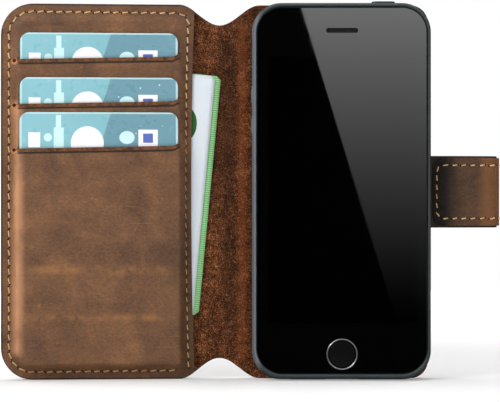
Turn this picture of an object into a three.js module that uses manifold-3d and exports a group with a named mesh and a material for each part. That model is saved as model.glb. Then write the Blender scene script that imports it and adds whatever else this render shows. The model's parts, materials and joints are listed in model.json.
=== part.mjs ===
// Phone wallet case: a leather folio that stands open on its lower edges.
// Units are millimetres. +X runs from the pocket cover to the phone, +Z is up and -Y is the side that
// shows the pockets and the phone. The back half stays still. The spine and the cover fold on two
// vertical axes, the closing strap folds on three, and the phone, cards and notes slide out.

import * as THREE from 'three';
import Module from 'manifold-3d';
import { mergeVertices } from 'three/addons/utils/BufferGeometryUtils.js';

const wasm = await Module();
wasm.setup();

// ---- driving dimensions ----
const LEATHER = 1.4;                    // thickness of the folio leather
const HALF_LEATHER = LEATHER / 2;
const LEATHER_HEIGHT = 129.2;
const MIDDLE_Z = LEATHER_HEIGHT / 2;
const GLUE_GAP = 0.05;                  // left between faces that are glued or lie on each other
const FOLD_GAP = 0.9;                   // leather left off each side of a fold axis
const LINING_FOLD_GAP = 1.55;           // more for the strap's lining, which lies inside the side fold
const CENTRE_X = -0.99;                 // these two put the middle of the standing case's box at the origin
const CENTRE_Y = -0.99;

// ---- folds of the folio ----
const BACK_FOLD_X = -0.5;               // axis between spine and back
const SPINE_WIDTH = 17.9;               // between the two fold axes
const SPINE_REST = 2;                   // degrees that each fold stands forward at rest
const COVER_REST = 2;
const COVER_WIDTH = 67.3;               // from its fold axis to its free edge
const BACK_RIGHT_X = 61.6;
const NOTCH_DEPTH = 7.0;                // scoop in the spine's top and bottom edges
const NOTCH_HALF_WIDTH = 14;
const NOTCH_FROM_FOLD = -10.1;          // centre of the scoop, from the back fold axis
const COVER_CORNER_R = 11;
const BACK_CORNER_R = 6;

// ---- phone and its shell ----
const PHONE_WIDTH = 58.6;
const PHONE_HEIGHT = 125.6;
const PHONE_DEPTH = 7.6;
const PHONE_CORNER_R = 9;
const PHONE_CLEAR = 0.06;
const SHELL_SIDE_WALL = 1.4;
const SHELL_TOP_WALL = 1.6;
const SHELL_FOOT = 2.2;
const SHELL_FLOOR = 1.0;
const SHELL_LIP = 0.4;
const SHELL_LEFT_X = 0.7;
const SHELL_CORNER_R = 10;

// ---- pocket panel: w is the distance in front of the cover leather's inner face ----
const LINING = 0.35;
const PANEL = 0.6;                      // thickness of the pocket leather
const PANEL_REST_W = 0.45;              // back face of the panel along its seam
const NOTE_ROOM = 0.9;
const CARD_THICKNESS = 0.76;
const CARD_WIDTH = 53.98;
const CARD_HEIGHT = 85.6;
const CARD_CORNER_R = 3.18;
const CARD_CLEAR = 0.08;
const CARD_STEP = PANEL + CARD_THICKNESS + 2 * CARD_CLEAR;
const CARD_SHOWS = [8.5, 8.5, 11.8];    // height of each card above its slit
const SLIT_Z = [110.6, 95.2, 79.9];
const SLIT_LEFT = 5.6;                  // from the cover's free edge
const SLIT_WIDTH = 56;
const SLIT_OPEN = 0.2;
const SLIT_END = 0.9;                   // length over which a slit's lip rises at each end
const CARD_LEFT = SLIT_LEFT + (SLIT_WIDTH - CARD_WIDTH) / 2;
const RAMP_EDGE = [3.1, 5.1];           // distance from the sewn edges over which the panel rises
const RAMP_CORNER_R = 10;
const RAMP_RIGHT = [60.7, 62.9];        // where it drops again towards its open edge
const PANEL_RIGHT = 66.4;               // from the cover's free edge
const PANEL_BOW = 1.2;                  // how far the panel's right edge curves in at mid height
const SEAM_INSET = 2.45;
const SEAM_CORNER_R = 5;
const THREAD = 0.3;
const THREAD_CLEAR = 0.03;

// ---- closing strap ----
const STRAP_WIDTH = 24.9;
const STRAP_LEATHER = 1.2;
const STRAP_LINING = 0.8;
const STRAP_Y = HALF_LEATHER + GLUE_GAP + STRAP_LEATHER / 2;   // middle of its outer leather at the base
const STRAP_BASE_LEFT = 26;
const SIDE_FOLD_X = 68.8;
const SIDE_REST = 10;                   // degrees the strap leans back at rest
const SIDE_LENGTH = 13.8;               // side fold axis to the start of the bend
const BEND_R = 4.5;                     // rest bend, middle of the leather
const BEND_ANGLE = 170;                 // degrees of the rest bend
const TIP_LENGTH = 28.6;
const TIP_CORNER_R = 9;
const LINING_LEFT_X = 64.8;             // where the strap's lining starts beside the shell

const colour = (r, g, b) => new THREE.Color().setRGB(r, g, b, THREE.SRGBColorSpace);
const finish = (r, g, b, roughness, metalness = 0) =>
  new THREE.MeshStandardMaterial({ color: colour(r, g, b), roughness, metalness });

const pullUpLeather = finish(0.42, 0.27, 0.18, 0.5);
const suede = finish(0.4, 0.24, 0.13, 0.95);
const liningFabric = finish(0.34, 0.25, 0.19, 0.9);
const thread = finish(0.9, 0.78, 0.58, 0.7);
const shellRubber = finish(0.2, 0.22, 0.25, 0.6);
const phoneBlack = finish(0.05, 0.05, 0.06, 0.35);
const screenGlass = finish(0.02, 0.02, 0.03, 0.05);
const brightMetal = finish(0.7, 0.7, 0.72, 0.3, 1);
const darkSteel = finish(0.35, 0.35, 0.37, 0.4, 1);
const cardPlastic = finish(0.55, 0.72, 0.75, 0.4);
const notePaper = finish(0.78, 0.83, 0.86, 0.8);
const greenPaper = finish(0.45, 0.62, 0.52, 0.8);

// ---- helpers ----
const root = new THREE.Group();
root.position.set(CENTRE_X, CENTRE_Y, 0);

function add(parent, name, geometry, material) {
  const mesh = new THREE.Mesh(geometry, material);
  mesh.name = name;
  parent.add(mesh);
  return mesh;
}

function solidOf(geometry) {
  const bare = geometry.clone();
  bare.deleteAttribute('normal');
  bare.deleteAttribute('uv');
  const merged = mergeVertices(bare, 1e-4);
  return new wasm.Manifold(new wasm.Mesh({
    numProp: 3,
    vertProperties: new Float32Array(merged.attributes.position.array),
    triVerts: new Uint32Array(merged.index.array),
  }));
}

function geometryOf(solid) {
  const mesh = solid.getMesh();
  const geometry = new THREE.BufferGeometry();
  geometry.setAttribute('position', new THREE.BufferAttribute(new Float32Array(mesh.vertProperties), 3));
  geometry.setIndex(new THREE.BufferAttribute(new Uint32Array(mesh.triVerts), 1));
  geometry.computeVertexNormals();
  return geometry;
}

// A flat piece: its outline lies in X and Z, and it fills from yFront to yBack.
function slab(shape, yFront, yBack, curveSegments = 8) {
  const depth = yBack - yFront;
  const geometry = new THREE.ExtrudeGeometry(shape, { depth, bevelEnabled: false, curveSegments });
  geometry.rotateX(Math.PI / 2);
  geometry.translate(0, yBack, 0);
  return geometry;
}

function box(x0, x1, y0, y1, z0, z1) {
  const geometry = new THREE.BoxGeometry(x1 - x0, y1 - y0, z1 - z0);
  geometry.translate((x0 + x1) / 2, (y0 + y1) / 2, (z0 + z1) / 2);
  return geometry;
}

// A disc or short rod whose axis runs along Y.
function disc(x, z, radius, yFront, yBack, segments = 32) {
  const geometry = new THREE.CylinderGeometry(radius, radius, yBack - yFront, segments);
  geometry.translate(x, (yFront + yBack) / 2, z);
  return geometry;
}

// Corner radii run: lower left, lower right, upper right, upper left.
function roundedRectangle(x0, x1, z0, z1, radii) {
  const [r0, r1, r2, r3] = Array.isArray(radii) ? radii : [radii, radii, radii, radii];
  const shape = new THREE.Shape();
  shape.moveTo(x0 + r0, z0);
  shape.lineTo(x1 - r1, z0);
  if (r1) shape.absarc(x1 - r1, z0 + r1, r1, -Math.PI / 2, 0);
  shape.lineTo(x1, z1 - r2);
  if (r2) shape.absarc(x1 - r2, z1 - r2, r2, 0, Math.PI / 2);
  shape.lineTo(x0 + r3, z1);
  if (r3) shape.absarc(x0 + r3, z1 - r3, r3, Math.PI / 2, Math.PI);
  shape.lineTo(x0, z0 + r0);
  if (r0) shape.absarc(x0 + r0, z0 + r0, r0, Math.PI, 1.5 * Math.PI);
  return shape;
}

// Depth of the scoop at x, measured from the back fold axis.
function notchDepth(x) {
  const t = (x - NOTCH_FROM_FOLD) / NOTCH_HALF_WIDTH;
  return Math.abs(t) >= 1 ? 0 : NOTCH_DEPTH * 0.5 * (1 + Math.cos(Math.PI * t));
}

// Outline of a stretch of folio leather between x0 and x1, with the scoop in its long edges. xShift
// is where the back fold axis lies in the outline's own X.
function leatherOutline(x0, x1, xShift, leftR, rightR) {
  const steps = 16;
  const along = (i) => x0 + leftR + (x1 - rightR - x0 - leftR) * i / steps;
  const shape = new THREE.Shape();
  shape.moveTo(along(0), notchDepth(along(0) - xShift));
  for (let i = 1; i <= steps; i++) shape.lineTo(along(i), notchDepth(along(i) - xShift));
  if (rightR) {
    shape.absarc(x1 - rightR, rightR, rightR, -Math.PI / 2, 0);
    shape.absarc(x1 - rightR, LEATHER_HEIGHT - rightR, rightR, 0, Math.PI / 2);
  }
  for (let i = steps; i >= 0; i--) {
    shape.lineTo(along(i), LEATHER_HEIGHT - notchDepth(along(i) - xShift));
  }
  if (leftR) {
    shape.absarc(x0 + leftR, LEATHER_HEIGHT - leftR, leftR, Math.PI / 2, Math.PI);
    shape.absarc(x0 + leftR, leftR, leftR, Math.PI, 1.5 * Math.PI);
  }
  return shape;
}

// One line of sewing thread through the points, lying from yFront to yFront + THREAD.
function threadLine(points, yFront) {
  const runs = points.slice(1).map((end, i) => {
    const start = points[i];
    const length = Math.hypot(end.x - start.x, end.z - start.z);
    const bar = new THREE.BoxGeometry(length + THREAD, THREAD, THREAD);
    bar.rotateY(-Math.atan2(end.z - start.z, end.x - start.x));
    bar.translate((start.x + end.x) / 2, yFront + THREAD / 2, (start.z + end.z) / 2);
    return solidOf(bar);
  });
  return geometryOf(runs.reduce((all, run) => all.add(run)));
}

function arcPoints(x, z, radius, fromDegrees, toDegrees, steps) {
  return Array.from({ length: steps + 1 }, (_, i) => {
    const angle = THREE.MathUtils.degToRad(fromDegrees + (toDegrees - fromDegrees) * i / steps);
    return { x: x + radius * Math.cos(angle), z: z + radius * Math.sin(angle) };
  });
}

// ---- back half: leather, glue and the phone shell ----
const shellRightX = SHELL_LEFT_X + PHONE_WIDTH + 2 * (SHELL_SIDE_WALL + PHONE_CLEAR);
const shellTopZ = SHELL_FOOT + PHONE_HEIGHT + SHELL_TOP_WALL + 2 * PHONE_CLEAR;
const shellBackY = -(HALF_LEATHER + 0.25);
const phoneBackY = shellBackY - SHELL_FLOOR - PHONE_CLEAR;
const phoneFrontY = phoneBackY - PHONE_DEPTH;
const shellFrontY = phoneFrontY - SHELL_LIP;
const phoneLeftX = SHELL_LEFT_X + SHELL_SIDE_WALL + PHONE_CLEAR;
const phoneRightX = phoneLeftX + PHONE_WIDTH;
const phoneBottomZ = SHELL_FOOT + PHONE_CLEAR;
const phoneTopZ = phoneBottomZ + PHONE_HEIGHT;
const phoneMiddleX = (phoneLeftX + phoneRightX) / 2;

const CAMERA_WINDOW = { x0: 41.5, x1: 58.5, z0: 114.5, z1: 124.5 };
const PORT = { x0: phoneMiddleX - 6, x1: phoneMiddleX + 6, y0: phoneFrontY + 1.2, y1: phoneBackY - 1.2 };
const JACK = { x0: phoneMiddleX - 23, x1: phoneMiddleX - 17 };
const SOUND = { x0: phoneMiddleX + 11, x1: phoneMiddleX + 23 };
const POWER_PAD = { x0: phoneRightX - 19, x1: phoneRightX - 11 };
const VOLUME_PADS = { up: 97.5, down: 87.3, length: 7 };
const MUTE_Z = 107;
const PAD_THICKNESS = 0.9;
const PAD_DEPTH = 3.2;
const PAD_TRAVEL_ROOM = 0.7;

function backLeather() {
  const outline = leatherOutline(BACK_FOLD_X + FOLD_GAP, BACK_RIGHT_X, BACK_FOLD_X, 0, BACK_CORNER_R);
  const sheet = solidOf(slab(outline, -HALF_LEATHER, HALF_LEATHER));
  return geometryOf(sheet.subtract(cameraWindow(HALF_LEATHER)));
}

function cameraWindow(yReach) {
  const { x0, x1, z0, z1 } = CAMERA_WINDOW;
  return solidOf(slab(roundedRectangle(x0, x1, z0, z1, 4.5), shellBackY - SHELL_FLOOR - 1, yReach + 1));
}

function glueSheet() {
  const inset = 6;
  const outline = roundedRectangle(SHELL_LEFT_X + inset, shellRightX - inset, inset, 122.5 - inset, 3);
  const sheet = solidOf(slab(outline, shellBackY + 0.03, -HALF_LEATHER - 0.03));
  const window = solidOf(box(CAMERA_WINDOW.x0 - 1, CAMERA_WINDOW.x1 + 1, -5, 5, CAMERA_WINDOW.z0 - 1, 130));
  return geometryOf(sheet.subtract(window));
}

function phoneShell() {
  const outer = roundedRectangle(SHELL_LEFT_X, shellRightX, 0, shellTopZ, SHELL_CORNER_R);
  const inner = roundedRectangle(
    phoneLeftX - PHONE_CLEAR, phoneRightX + PHONE_CLEAR,
    phoneBottomZ - PHONE_CLEAR, phoneTopZ + PHONE_CLEAR, PHONE_CORNER_R + PHONE_CLEAR,
  );
  let solid = solidOf(slab(outer, shellFrontY, shellBackY));
  const cuts = [
    slab(inner, shellFrontY - 1, phoneBackY + PHONE_CLEAR),
    box(PORT.x0, PORT.x1, PORT.y0, PORT.y1, -1, SHELL_FOOT + 1),
    box(JACK.x0, JACK.x1, PORT.y0, PORT.y1, -1, SHELL_FOOT + 1),
    box(SOUND.x0, SOUND.x1, PORT.y0 + 1, PORT.y1 - 1, -1, SHELL_FOOT + 1),
    box(POWER_PAD.x0 - 0.3, POWER_PAD.x1 + 0.3, ...padYs(0.3), phoneTopZ - 1, shellTopZ + 1),
    box(SHELL_LEFT_X - 1, phoneLeftX + 1, ...padYs(0.3), MUTE_Z - 3, MUTE_Z + 3),
    ...['up', 'down'].map((side) => volumeWindow(VOLUME_PADS[side])),
  ];
  for (const cut of cuts) solid = solid.subtract(solidOf(cut));
  return geometryOf(solid.subtract(cameraWindow(0)));
}

function padYs(clear) {
  const middle = (phoneFrontY + phoneBackY) / 2;
  return [middle - PAD_DEPTH / 2 - clear, middle + PAD_DEPTH / 2 + clear];
}

function volumeWindow(z) {
  const half = VOLUME_PADS.length / 2 + 0.3;
  return box(SHELL_LEFT_X - 1, phoneLeftX + 1, ...padYs(0.3), z - half, z + half);
}

const back = new THREE.Group();
root.add(back);
add(back, 'back_leather', backLeather(), pullUpLeather);
add(back, 'shell_adhesive', glueSheet(), liningFabric);
add(back, 'phone_shell', phoneShell(), shellRubber);

const powerPad = box(
  POWER_PAD.x0, POWER_PAD.x1, ...padYs(0),
  phoneTopZ + PAD_TRAVEL_ROOM, phoneTopZ + PAD_TRAVEL_ROOM + PAD_THICKNESS + 0.4,
);
add(back, 'power_pad', powerPad, shellRubber);
for (const side of ['up', 'down']) {
  const z = VOLUME_PADS[side];
  const half = VOLUME_PADS.length / 2;
  const outerX = SHELL_LEFT_X - 0.35;
  const pad = box(outerX, outerX + PAD_THICKNESS, ...padYs(0), z - half, z + half);
  add(back, `volume_${side}_pad`, pad, shellRubber);
}

// ---- phone ----
const GLASS = 1.1;
const HOME_R = 5.0;
const HOME_Z = 9.0;                     // above the floor
const HOME_DISH = 0.35;
const CAMERA_X = phoneRightX - 6.5;
const CAMERA_Z = phoneTopZ - 6.3;

function phoneHousing() {
  const outline = roundedRectangle(phoneLeftX, phoneRightX, phoneBottomZ, phoneTopZ, PHONE_CORNER_R);
  let solid = solidOf(slab(outline, phoneFrontY + GLASS, phoneBackY));
  const homeWell = disc(phoneMiddleX, HOME_Z, HOME_R + 0.9, phoneFrontY, phoneFrontY + GLASS + 2);
  const earWell = slab(earpieceOutline(0.15), phoneFrontY, phoneFrontY + GLASS + 0.8);
  const lensWell = disc(CAMERA_X, CAMERA_Z, 3.1, phoneBackY - 0.8, phoneBackY + 1);
  const flashWell = disc(CAMERA_X - 7.5, CAMERA_Z, 1.7, phoneBackY - 0.8, phoneBackY + 1, 20);
  const plugWell = box(phoneMiddleX - 3.6, phoneMiddleX + 3.6, -6.6, -4.6, 0, phoneBottomZ + 6);
  const wells = [homeWell, earWell, lensWell, flashWell, plugWell];
  for (const well of wells) solid = solid.subtract(solidOf(well));
  return geometryOf(solid);
}

function earpieceOutline(extra) {
  const half = 5.2 + extra;
  const z = phoneTopZ - 8.2;
  return roundedRectangle(phoneMiddleX - half, phoneMiddleX + half, z - 0.6 - extra, z + 0.6 + extra, 0.55);
}

function frontGlass() {
  const inset = 0.5;
  const outline = roundedRectangle(
    phoneLeftX + inset, phoneRightX - inset, phoneBottomZ + inset, phoneTopZ - inset, PHONE_CORNER_R - 0.8,
  );
  const sheet = solidOf(slab(outline, phoneFrontY, phoneFrontY + GLASS - 0.04));
  const homeHole = solidOf(disc(phoneMiddleX, HOME_Z, HOME_R + 0.45, phoneFrontY - 1, phoneFrontY + 2));
  const earHole = solidOf(slab(earpieceOutline(0.15), phoneFrontY - 1, phoneFrontY + 2));
  return geometryOf(sheet.subtract(homeHole).subtract(earHole));
}

function homeRing() {
  const profile = [
    [HOME_R - 0.35, 0], [HOME_R + 0.35, 0], [HOME_R + 0.35, 0.9], [HOME_R - 0.35, 0.9], [HOME_R - 0.35, 0],
  ].map(([r, y]) => new THREE.Vector2(r, y));
  const ring = new THREE.LatheGeometry(profile, 40);
  ring.translate(phoneMiddleX, phoneFrontY + 0.05, HOME_Z);
  return ring;
}

// The home button is a disc with a shallow round dish in its face.
function homeButton() {
  const face = phoneFrontY + 0.1;
  const profile = [[0, HOME_DISH], [2.5, 0.24], [4.5, 0], [4.5, 1.2], [0, 1.2]];
  const geometry = new THREE.LatheGeometry(profile.map(([r, y]) => new THREE.Vector2(r, y)), 32);
  geometry.translate(phoneMiddleX, face, HOME_Z);
  return geometry;
}

const phone = new THREE.Group();
root.add(phone);
add(phone, 'phone_housing', phoneHousing(), phoneBlack);
add(phone, 'front_glass', frontGlass(), screenGlass);
add(phone, 'home_ring', homeRing(), brightMetal);
add(phone, 'home_button', homeButton(), phoneBlack);
add(phone, 'earpiece_mesh', slab(earpieceOutline(0), phoneFrontY + 0.7, phoneFrontY + 1.5), darkSteel);
add(phone, 'camera_lens', disc(CAMERA_X, CAMERA_Z, 2.95, phoneBackY - 0.7, phoneBackY, 28), screenGlass);
add(phone, 'camera_flash', disc(CAMERA_X - 7.5, CAMERA_Z, 1.55, phoneBackY - 0.7, phoneBackY, 20), notePaper);

// ---- spine, turning on the back fold axis; its own X and Y start at that axis ----
const spine = new THREE.Group();
spine.position.set(BACK_FOLD_X, 0, 0);
spine.rotation.z = THREE.MathUtils.degToRad(SPINE_REST);
root.add(spine);

const spineOutline = leatherOutline(-SPINE_WIDTH + FOLD_GAP, -FOLD_GAP, 0, 0, 0);
add(spine, 'spine_leather', slab(spineOutline, -HALF_LEATHER, HALF_LEATHER), suede);

// ---- cover, turning on the spine's far edge; u runs from its free edge towards the fold ----
const cover = new THREE.Group();
cover.position.set(-SPINE_WIDTH, 0, 0);
cover.rotation.z = THREE.MathUtils.degToRad(COVER_REST);
spine.add(cover);

// u = 0 is the cover's free edge, w = 0 is the leather's inner face and grows towards the pockets.
const uFrame = new THREE.Group();
uFrame.position.set(-COVER_WIDTH, -HALF_LEATHER, 0);
cover.add(uFrame);

const foldU = COVER_WIDTH + SPINE_WIDTH;  // where the back fold axis would lie along u
const outlineU = (right) => leatherOutline(0, right, foldU, COVER_CORNER_R, 0);
const MAGNET_PLATE = { u0: 18, u1: 31, z0: MIDDLE_Z - 8, z1: MIDDLE_Z + 8 };

function slabW(shape, w0, w1) {
  return slab(shape, -w1, -w0);
}

function coverLining() {
  const sheet = solidOf(slabW(outlineU(COVER_WIDTH - FOLD_GAP - 0.4), GLUE_GAP, GLUE_GAP + LINING));
  const { u0, u1, z0, z1 } = MAGNET_PLATE;
  return geometryOf(sheet.subtract(solidOf(box(u0 - 0.3, u1 + 0.3, -2, 1, z0 - 0.3, z1 + 0.3))));
}

// How much of a card's step the panel has risen at (u, z): 0 above the slit and 1 below it. The step is
// sudden along the slit and eases out past its ends.
function slitRise(u, z, slitZ) {
  const past = Math.max(SLIT_LEFT - u, u - SLIT_LEFT - SLIT_WIDTH);
  const sharp = Math.min(1, Math.max(0, -past / SLIT_END));
  const away = Math.min(1, Math.abs(z - slitZ) / 4);
  return 0.5 * (1 - Math.sign(z - slitZ) * Math.max(sharp, away));
}

const between = (t, [from, to]) => Math.min(1, Math.max(0, (t - from) / (to - from)));

// Distance from the cover's three sewn edges, following its rounded corners.
function fromSewnEdge(u, z) {
  const endZ = Math.min(z, LEATHER_HEIGHT - z);
  const inCorner = u < RAMP_CORNER_R && endZ < RAMP_CORNER_R;
  const round = RAMP_CORNER_R - Math.hypot(RAMP_CORNER_R - u, RAMP_CORNER_R - endZ);
  return inCorner ? round : Math.min(u, endZ);
}

// Back face of the pocket panel at (u, z).
function panelBack(u, z) {
  const steps = SLIT_Z.reduce((sum, slitZ) => sum + slitRise(u, z, slitZ), 0);
  const cards = (1 - between(u, RAMP_RIGHT)) * steps * CARD_STEP;
  return PANEL_REST_W + between(fromSewnEdge(u, z), RAMP_EDGE) * (NOTE_ROOM + cards);
}

// One sheet with three slits, as a grid of points. Each slit is a row of cells left out.
function pocketPanel() {
  const slitRight = SLIT_LEFT + SLIT_WIDTH;
  const cornerSteps = [7.1, 7.8, 9.4, COVER_CORNER_R];
  const us = [
    0, ...RAMP_EDGE, SLIT_LEFT, SLIT_LEFT + SLIT_END, ...cornerSteps, 33, 47,
    ...RAMP_RIGHT, slitRight, COVER_WIDTH,
  ].sort((a, b) => a - b);
  const gaps = SLIT_Z.map((z) => [z - SLIT_OPEN / 2, z + SLIT_OPEN / 2]);
  const ends = [0, ...RAMP_EDGE, 6.4, ...cornerSteps];
  const zs = [
    ...ends, ...ends.map((z) => LEATHER_HEIGHT - z),
    30, 55, ...gaps.flatMap(([low, high]) => [low - 4, low, high, high + 4]),
  ].sort((a, b) => a - b);
  const open = (i, j) => gaps.some(([low]) => zs[j] === low) && us[i] >= SLIT_LEFT && us[i + 1] <= slitRight;
  const nu = us.length;
  const nz = zs.length;
  const positions = [];
  for (const side of [0, 1]) {
    for (const z of zs) {
      for (const u of us) positions.push(u, -(panelBack(u, z) + side * PANEL), z);
    }
  }
  const at = (i, j, side) => side * nu * nz + j * nu + i;
  const kept = (i, j) => i >= 0 && j >= 0 && i < nu - 1 && j < nz - 1 && !open(i, j);
  const index = [];
  const quad = (a, b, c, d) => index.push(a, b, c, a, c, d);
  for (let j = 0; j < nz - 1; j++) {
    for (let i = 0; i < nu - 1; i++) {
      if (!kept(i, j)) continue;
      quad(at(i, j, 1), at(i + 1, j, 1), at(i + 1, j + 1, 1), at(i, j + 1, 1));
      quad(at(i, j, 0), at(i, j + 1, 0), at(i + 1, j + 1, 0), at(i + 1, j, 0));
      if (!kept(i - 1, j)) quad(at(i, j, 0), at(i, j, 1), at(i, j + 1, 1), at(i, j + 1, 0));
      if (!kept(i + 1, j)) quad(at(i + 1, j, 1), at(i + 1, j, 0), at(i + 1, j + 1, 0), at(i + 1, j + 1, 1));
      if (!kept(i, j - 1)) quad(at(i, j, 1), at(i, j, 0), at(i + 1, j, 0), at(i + 1, j, 1));
      if (!kept(i, j + 1)) quad(at(i, j + 1, 0), at(i, j + 1, 1), at(i + 1, j + 1, 1), at(i + 1, j + 1, 0));
    }
  }
  const geometry = new THREE.BufferGeometry();
  geometry.setAttribute('position', new THREE.Float32BufferAttribute(positions, 3));
  geometry.setIndex(index);
  const sheet = solidOf(geometry);
  return geometryOf(sheet.intersect(solidOf(slabW(panelOutline(), -1, 12))));
}

const panelEdge = (z) => PANEL_RIGHT - PANEL_BOW * (1 - ((z - MIDDLE_Z) / MIDDLE_Z) ** 2);

// The cover's outline, ending at the bowed right edge.
function panelOutline() {
  const shape = new THREE.Shape();
  const steps = 10;
  const lowZ = notchDepth(PANEL_RIGHT - foldU);
  const highZ = LEATHER_HEIGHT - lowZ;
  const startU = foldU + NOTCH_FROM_FOLD - NOTCH_HALF_WIDTH;
  const run = PANEL_RIGHT - startU;
  shape.moveTo(COVER_CORNER_R, 0);
  for (let i = 0; i < 4; i++) {
    const u = startU + run * i / 4;
    shape.lineTo(u, notchDepth(u - foldU));
  }
  for (let i = 0; i <= steps; i++) {
    const z = lowZ + (highZ - lowZ) * i / steps;
    shape.lineTo(panelEdge(z), z);
  }
  for (let i = 3; i >= 0; i--) {
    const u = startU + run * i / 4;
    shape.lineTo(u, LEATHER_HEIGHT - notchDepth(u - foldU));
  }
  shape.absarc(COVER_CORNER_R, LEATHER_HEIGHT - COVER_CORNER_R, COVER_CORNER_R, Math.PI / 2, Math.PI);
  shape.absarc(COVER_CORNER_R, COVER_CORNER_R, COVER_CORNER_R, Math.PI, 1.5 * Math.PI);
  return shape;
}

const coverOutline = leatherOutline(-COVER_WIDTH, -FOLD_GAP, SPINE_WIDTH, COVER_CORNER_R, 0);
add(cover, 'cover_leather', slab(coverOutline, -HALF_LEATHER, HALF_LEATHER), pullUpLeather);
add(uFrame, 'cover_lining', coverLining(), liningFabric);
const { u0: plateU0, u1: plateU1, z0: plateZ0, z1: plateZ1 } = MAGNET_PLATE;
const plateOutline = roundedRectangle(plateU0, plateU1, plateZ0, plateZ1, 1.5);
add(uFrame, 'cover_magnet_plate', slabW(plateOutline, GLUE_GAP, LINING), darkSteel);
add(uFrame, 'pocket_panel', pocketPanel(), pullUpLeather);

// ---- seams of the pocket panel ----
function perimeterSeam() {
  const low = SEAM_INSET;
  const high = LEATHER_HEIGHT - SEAM_INSET;
  const centre = SEAM_INSET + SEAM_CORNER_R;
  const endU = RAMP_RIGHT[0];
  return [
    { x: endU, z: low },
    ...arcPoints(centre, centre, SEAM_CORNER_R, 270, 180, 4),
    ...arcPoints(centre, LEATHER_HEIGHT - centre, SEAM_CORNER_R, 180, 90, 4),
    { x: endU, z: high },
  ];
}

function edgeSeam() {
  const steps = 6;
  return Array.from({ length: steps + 1 }, (_, i) => {
    const z = 8 + (LEATHER_HEIGHT - 16) * i / steps;
    return { x: panelEdge(z) - 1.7, z };
  });
}

const seamFront = -(PANEL_REST_W + PANEL + 0.1 + THREAD);
add(uFrame, 'pocket_seam_thread', threadLine(perimeterSeam(), seamFront), thread);
add(uFrame, 'pocket_edge_thread', threadLine(edgeSeam(), seamFront - NOTE_ROOM), thread);
add(uFrame, 'cover_seam_thread', threadLine(perimeterSeam(), LEATHER + THREAD_CLEAR), thread);

// ---- cards and the fabric behind each one ----
const cardBackW = (k) => PANEL_REST_W + NOTE_ROOM + k * CARD_STEP + PANEL + CARD_CLEAR;
SLIT_Z.forEach((slitZ, k) => {
  const topZ = slitZ + CARD_SHOWS[k];
  const w = cardBackW(k);
  const card = roundedRectangle(CARD_LEFT, CARD_LEFT + CARD_WIDTH, topZ - CARD_HEIGHT, topZ, CARD_CORNER_R);
  add(uFrame, `card_${k + 1}`, slabW(card, w, w + CARD_THICKNESS), cardPlastic);
  const liner = roundedRectangle(
    CARD_LEFT, CARD_LEFT + CARD_WIDTH, RAMP_EDGE[1] + 0.7, slitZ - 0.6, [4, 0, 0, 0],
  );
  add(uFrame, `card_liner_${k + 1}`, slabW(liner, w - 0.45, w - 0.2), liningFabric);
});

// ---- banknotes, leaning out of the compartment behind the panel ----
const NOTE = { width: 46, height: 84, lean: 5.4, baseZ: 20.5, thickness: 0.25 };

function note(rightU, w, drop) {
  const outline = roundedRectangle(-NOTE.width, 0, -NOTE.height + drop, 0, 0.6);
  const geometry = slabW(outline, w, w + NOTE.thickness);
  geometry.rotateY(THREE.MathUtils.degToRad(NOTE.lean));
  geometry.translate(rightU, 0, NOTE.baseZ + NOTE.height);
  return geometry;
}

add(uFrame, 'white_note', note(73.6, 0.9, 0), notePaper);
add(uFrame, 'green_note', note(75.6, 0.5, 1), greenPaper);

// ---- closing strap ----
const rad = THREE.MathUtils.degToRad;

// The strap's own frame: it starts at the side fold axis, +X runs along the strap and +Y faces back.
const strap = new THREE.Group();
strap.position.set(SIDE_FOLD_X, STRAP_Y, 0);
strap.rotation.z = rad(SIDE_REST);
root.add(strap);

const strapLow = MIDDLE_Z - STRAP_WIDTH / 2;
const strapHigh = MIDDLE_Z + STRAP_WIDTH / 2;
const outerLeather = [-STRAP_LEATHER / 2, STRAP_LEATHER / 2];
const innerLining = [-STRAP_LEATHER / 2 - GLUE_GAP - STRAP_LINING, -STRAP_LEATHER / 2 - GLUE_GAP];

// A stretch of the bend between two angles, seen from above and as tall as the strap is wide.
function bendPiece(fromAngle, toAngle, [y0, y1]) {
  const shape = new THREE.Shape();
  shape.absarc(0, 0, BEND_R - y0, rad(fromAngle - 90), rad(toAngle - 90), false);
  shape.absarc(0, 0, BEND_R - y1, rad(toAngle - 90), rad(fromAngle - 90), true);
  const depth = STRAP_WIDTH - 1;
  const geometry = new THREE.ExtrudeGeometry(shape, { depth, bevelEnabled: false, curveSegments: 8 });
  geometry.translate(SIDE_LENGTH, BEND_R, strapLow + 0.5);
  return geometry;
}

function strapBase() {
  const outline = roundedRectangle(
    STRAP_BASE_LEFT, SIDE_FOLD_X - FOLD_GAP, strapLow, strapHigh,
    [STRAP_WIDTH / 2 - 0.5, 0, 0, STRAP_WIDTH / 2 - 0.5],
  );
  return slab(outline, STRAP_Y - STRAP_LEATHER / 2, STRAP_Y + STRAP_LEATHER / 2, 12);
}

function baseSeam() {
  const inset = 2.4;
  const right = BACK_RIGHT_X - 2;
  const centre = STRAP_BASE_LEFT + STRAP_WIDTH / 2;
  return [
    { x: right, z: strapLow + inset },
    ...arcPoints(centre, MIDDLE_Z, STRAP_WIDTH / 2 - inset, 270, 90, 9),
    { x: right, z: strapHigh - inset },
    { x: right, z: strapLow + inset },
  ];
}

add(back, 'strap_base_leather', strapBase(), pullUpLeather);
add(back, 'strap_base_thread', threadLine(baseSeam(), STRAP_Y + STRAP_LEATHER / 2 + THREAD_CLEAR), thread);
const liningStub = roundedRectangle(
  LINING_LEFT_X, SIDE_FOLD_X - LINING_FOLD_GAP, strapLow + 0.6, strapHigh - 0.6, [2.2, 0, 0, 2.2],
);
const stubYs = innerLining.map((y) => STRAP_Y + y);
add(back, 'strap_base_lining', slab(liningStub, ...stubYs), pullUpLeather);

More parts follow.
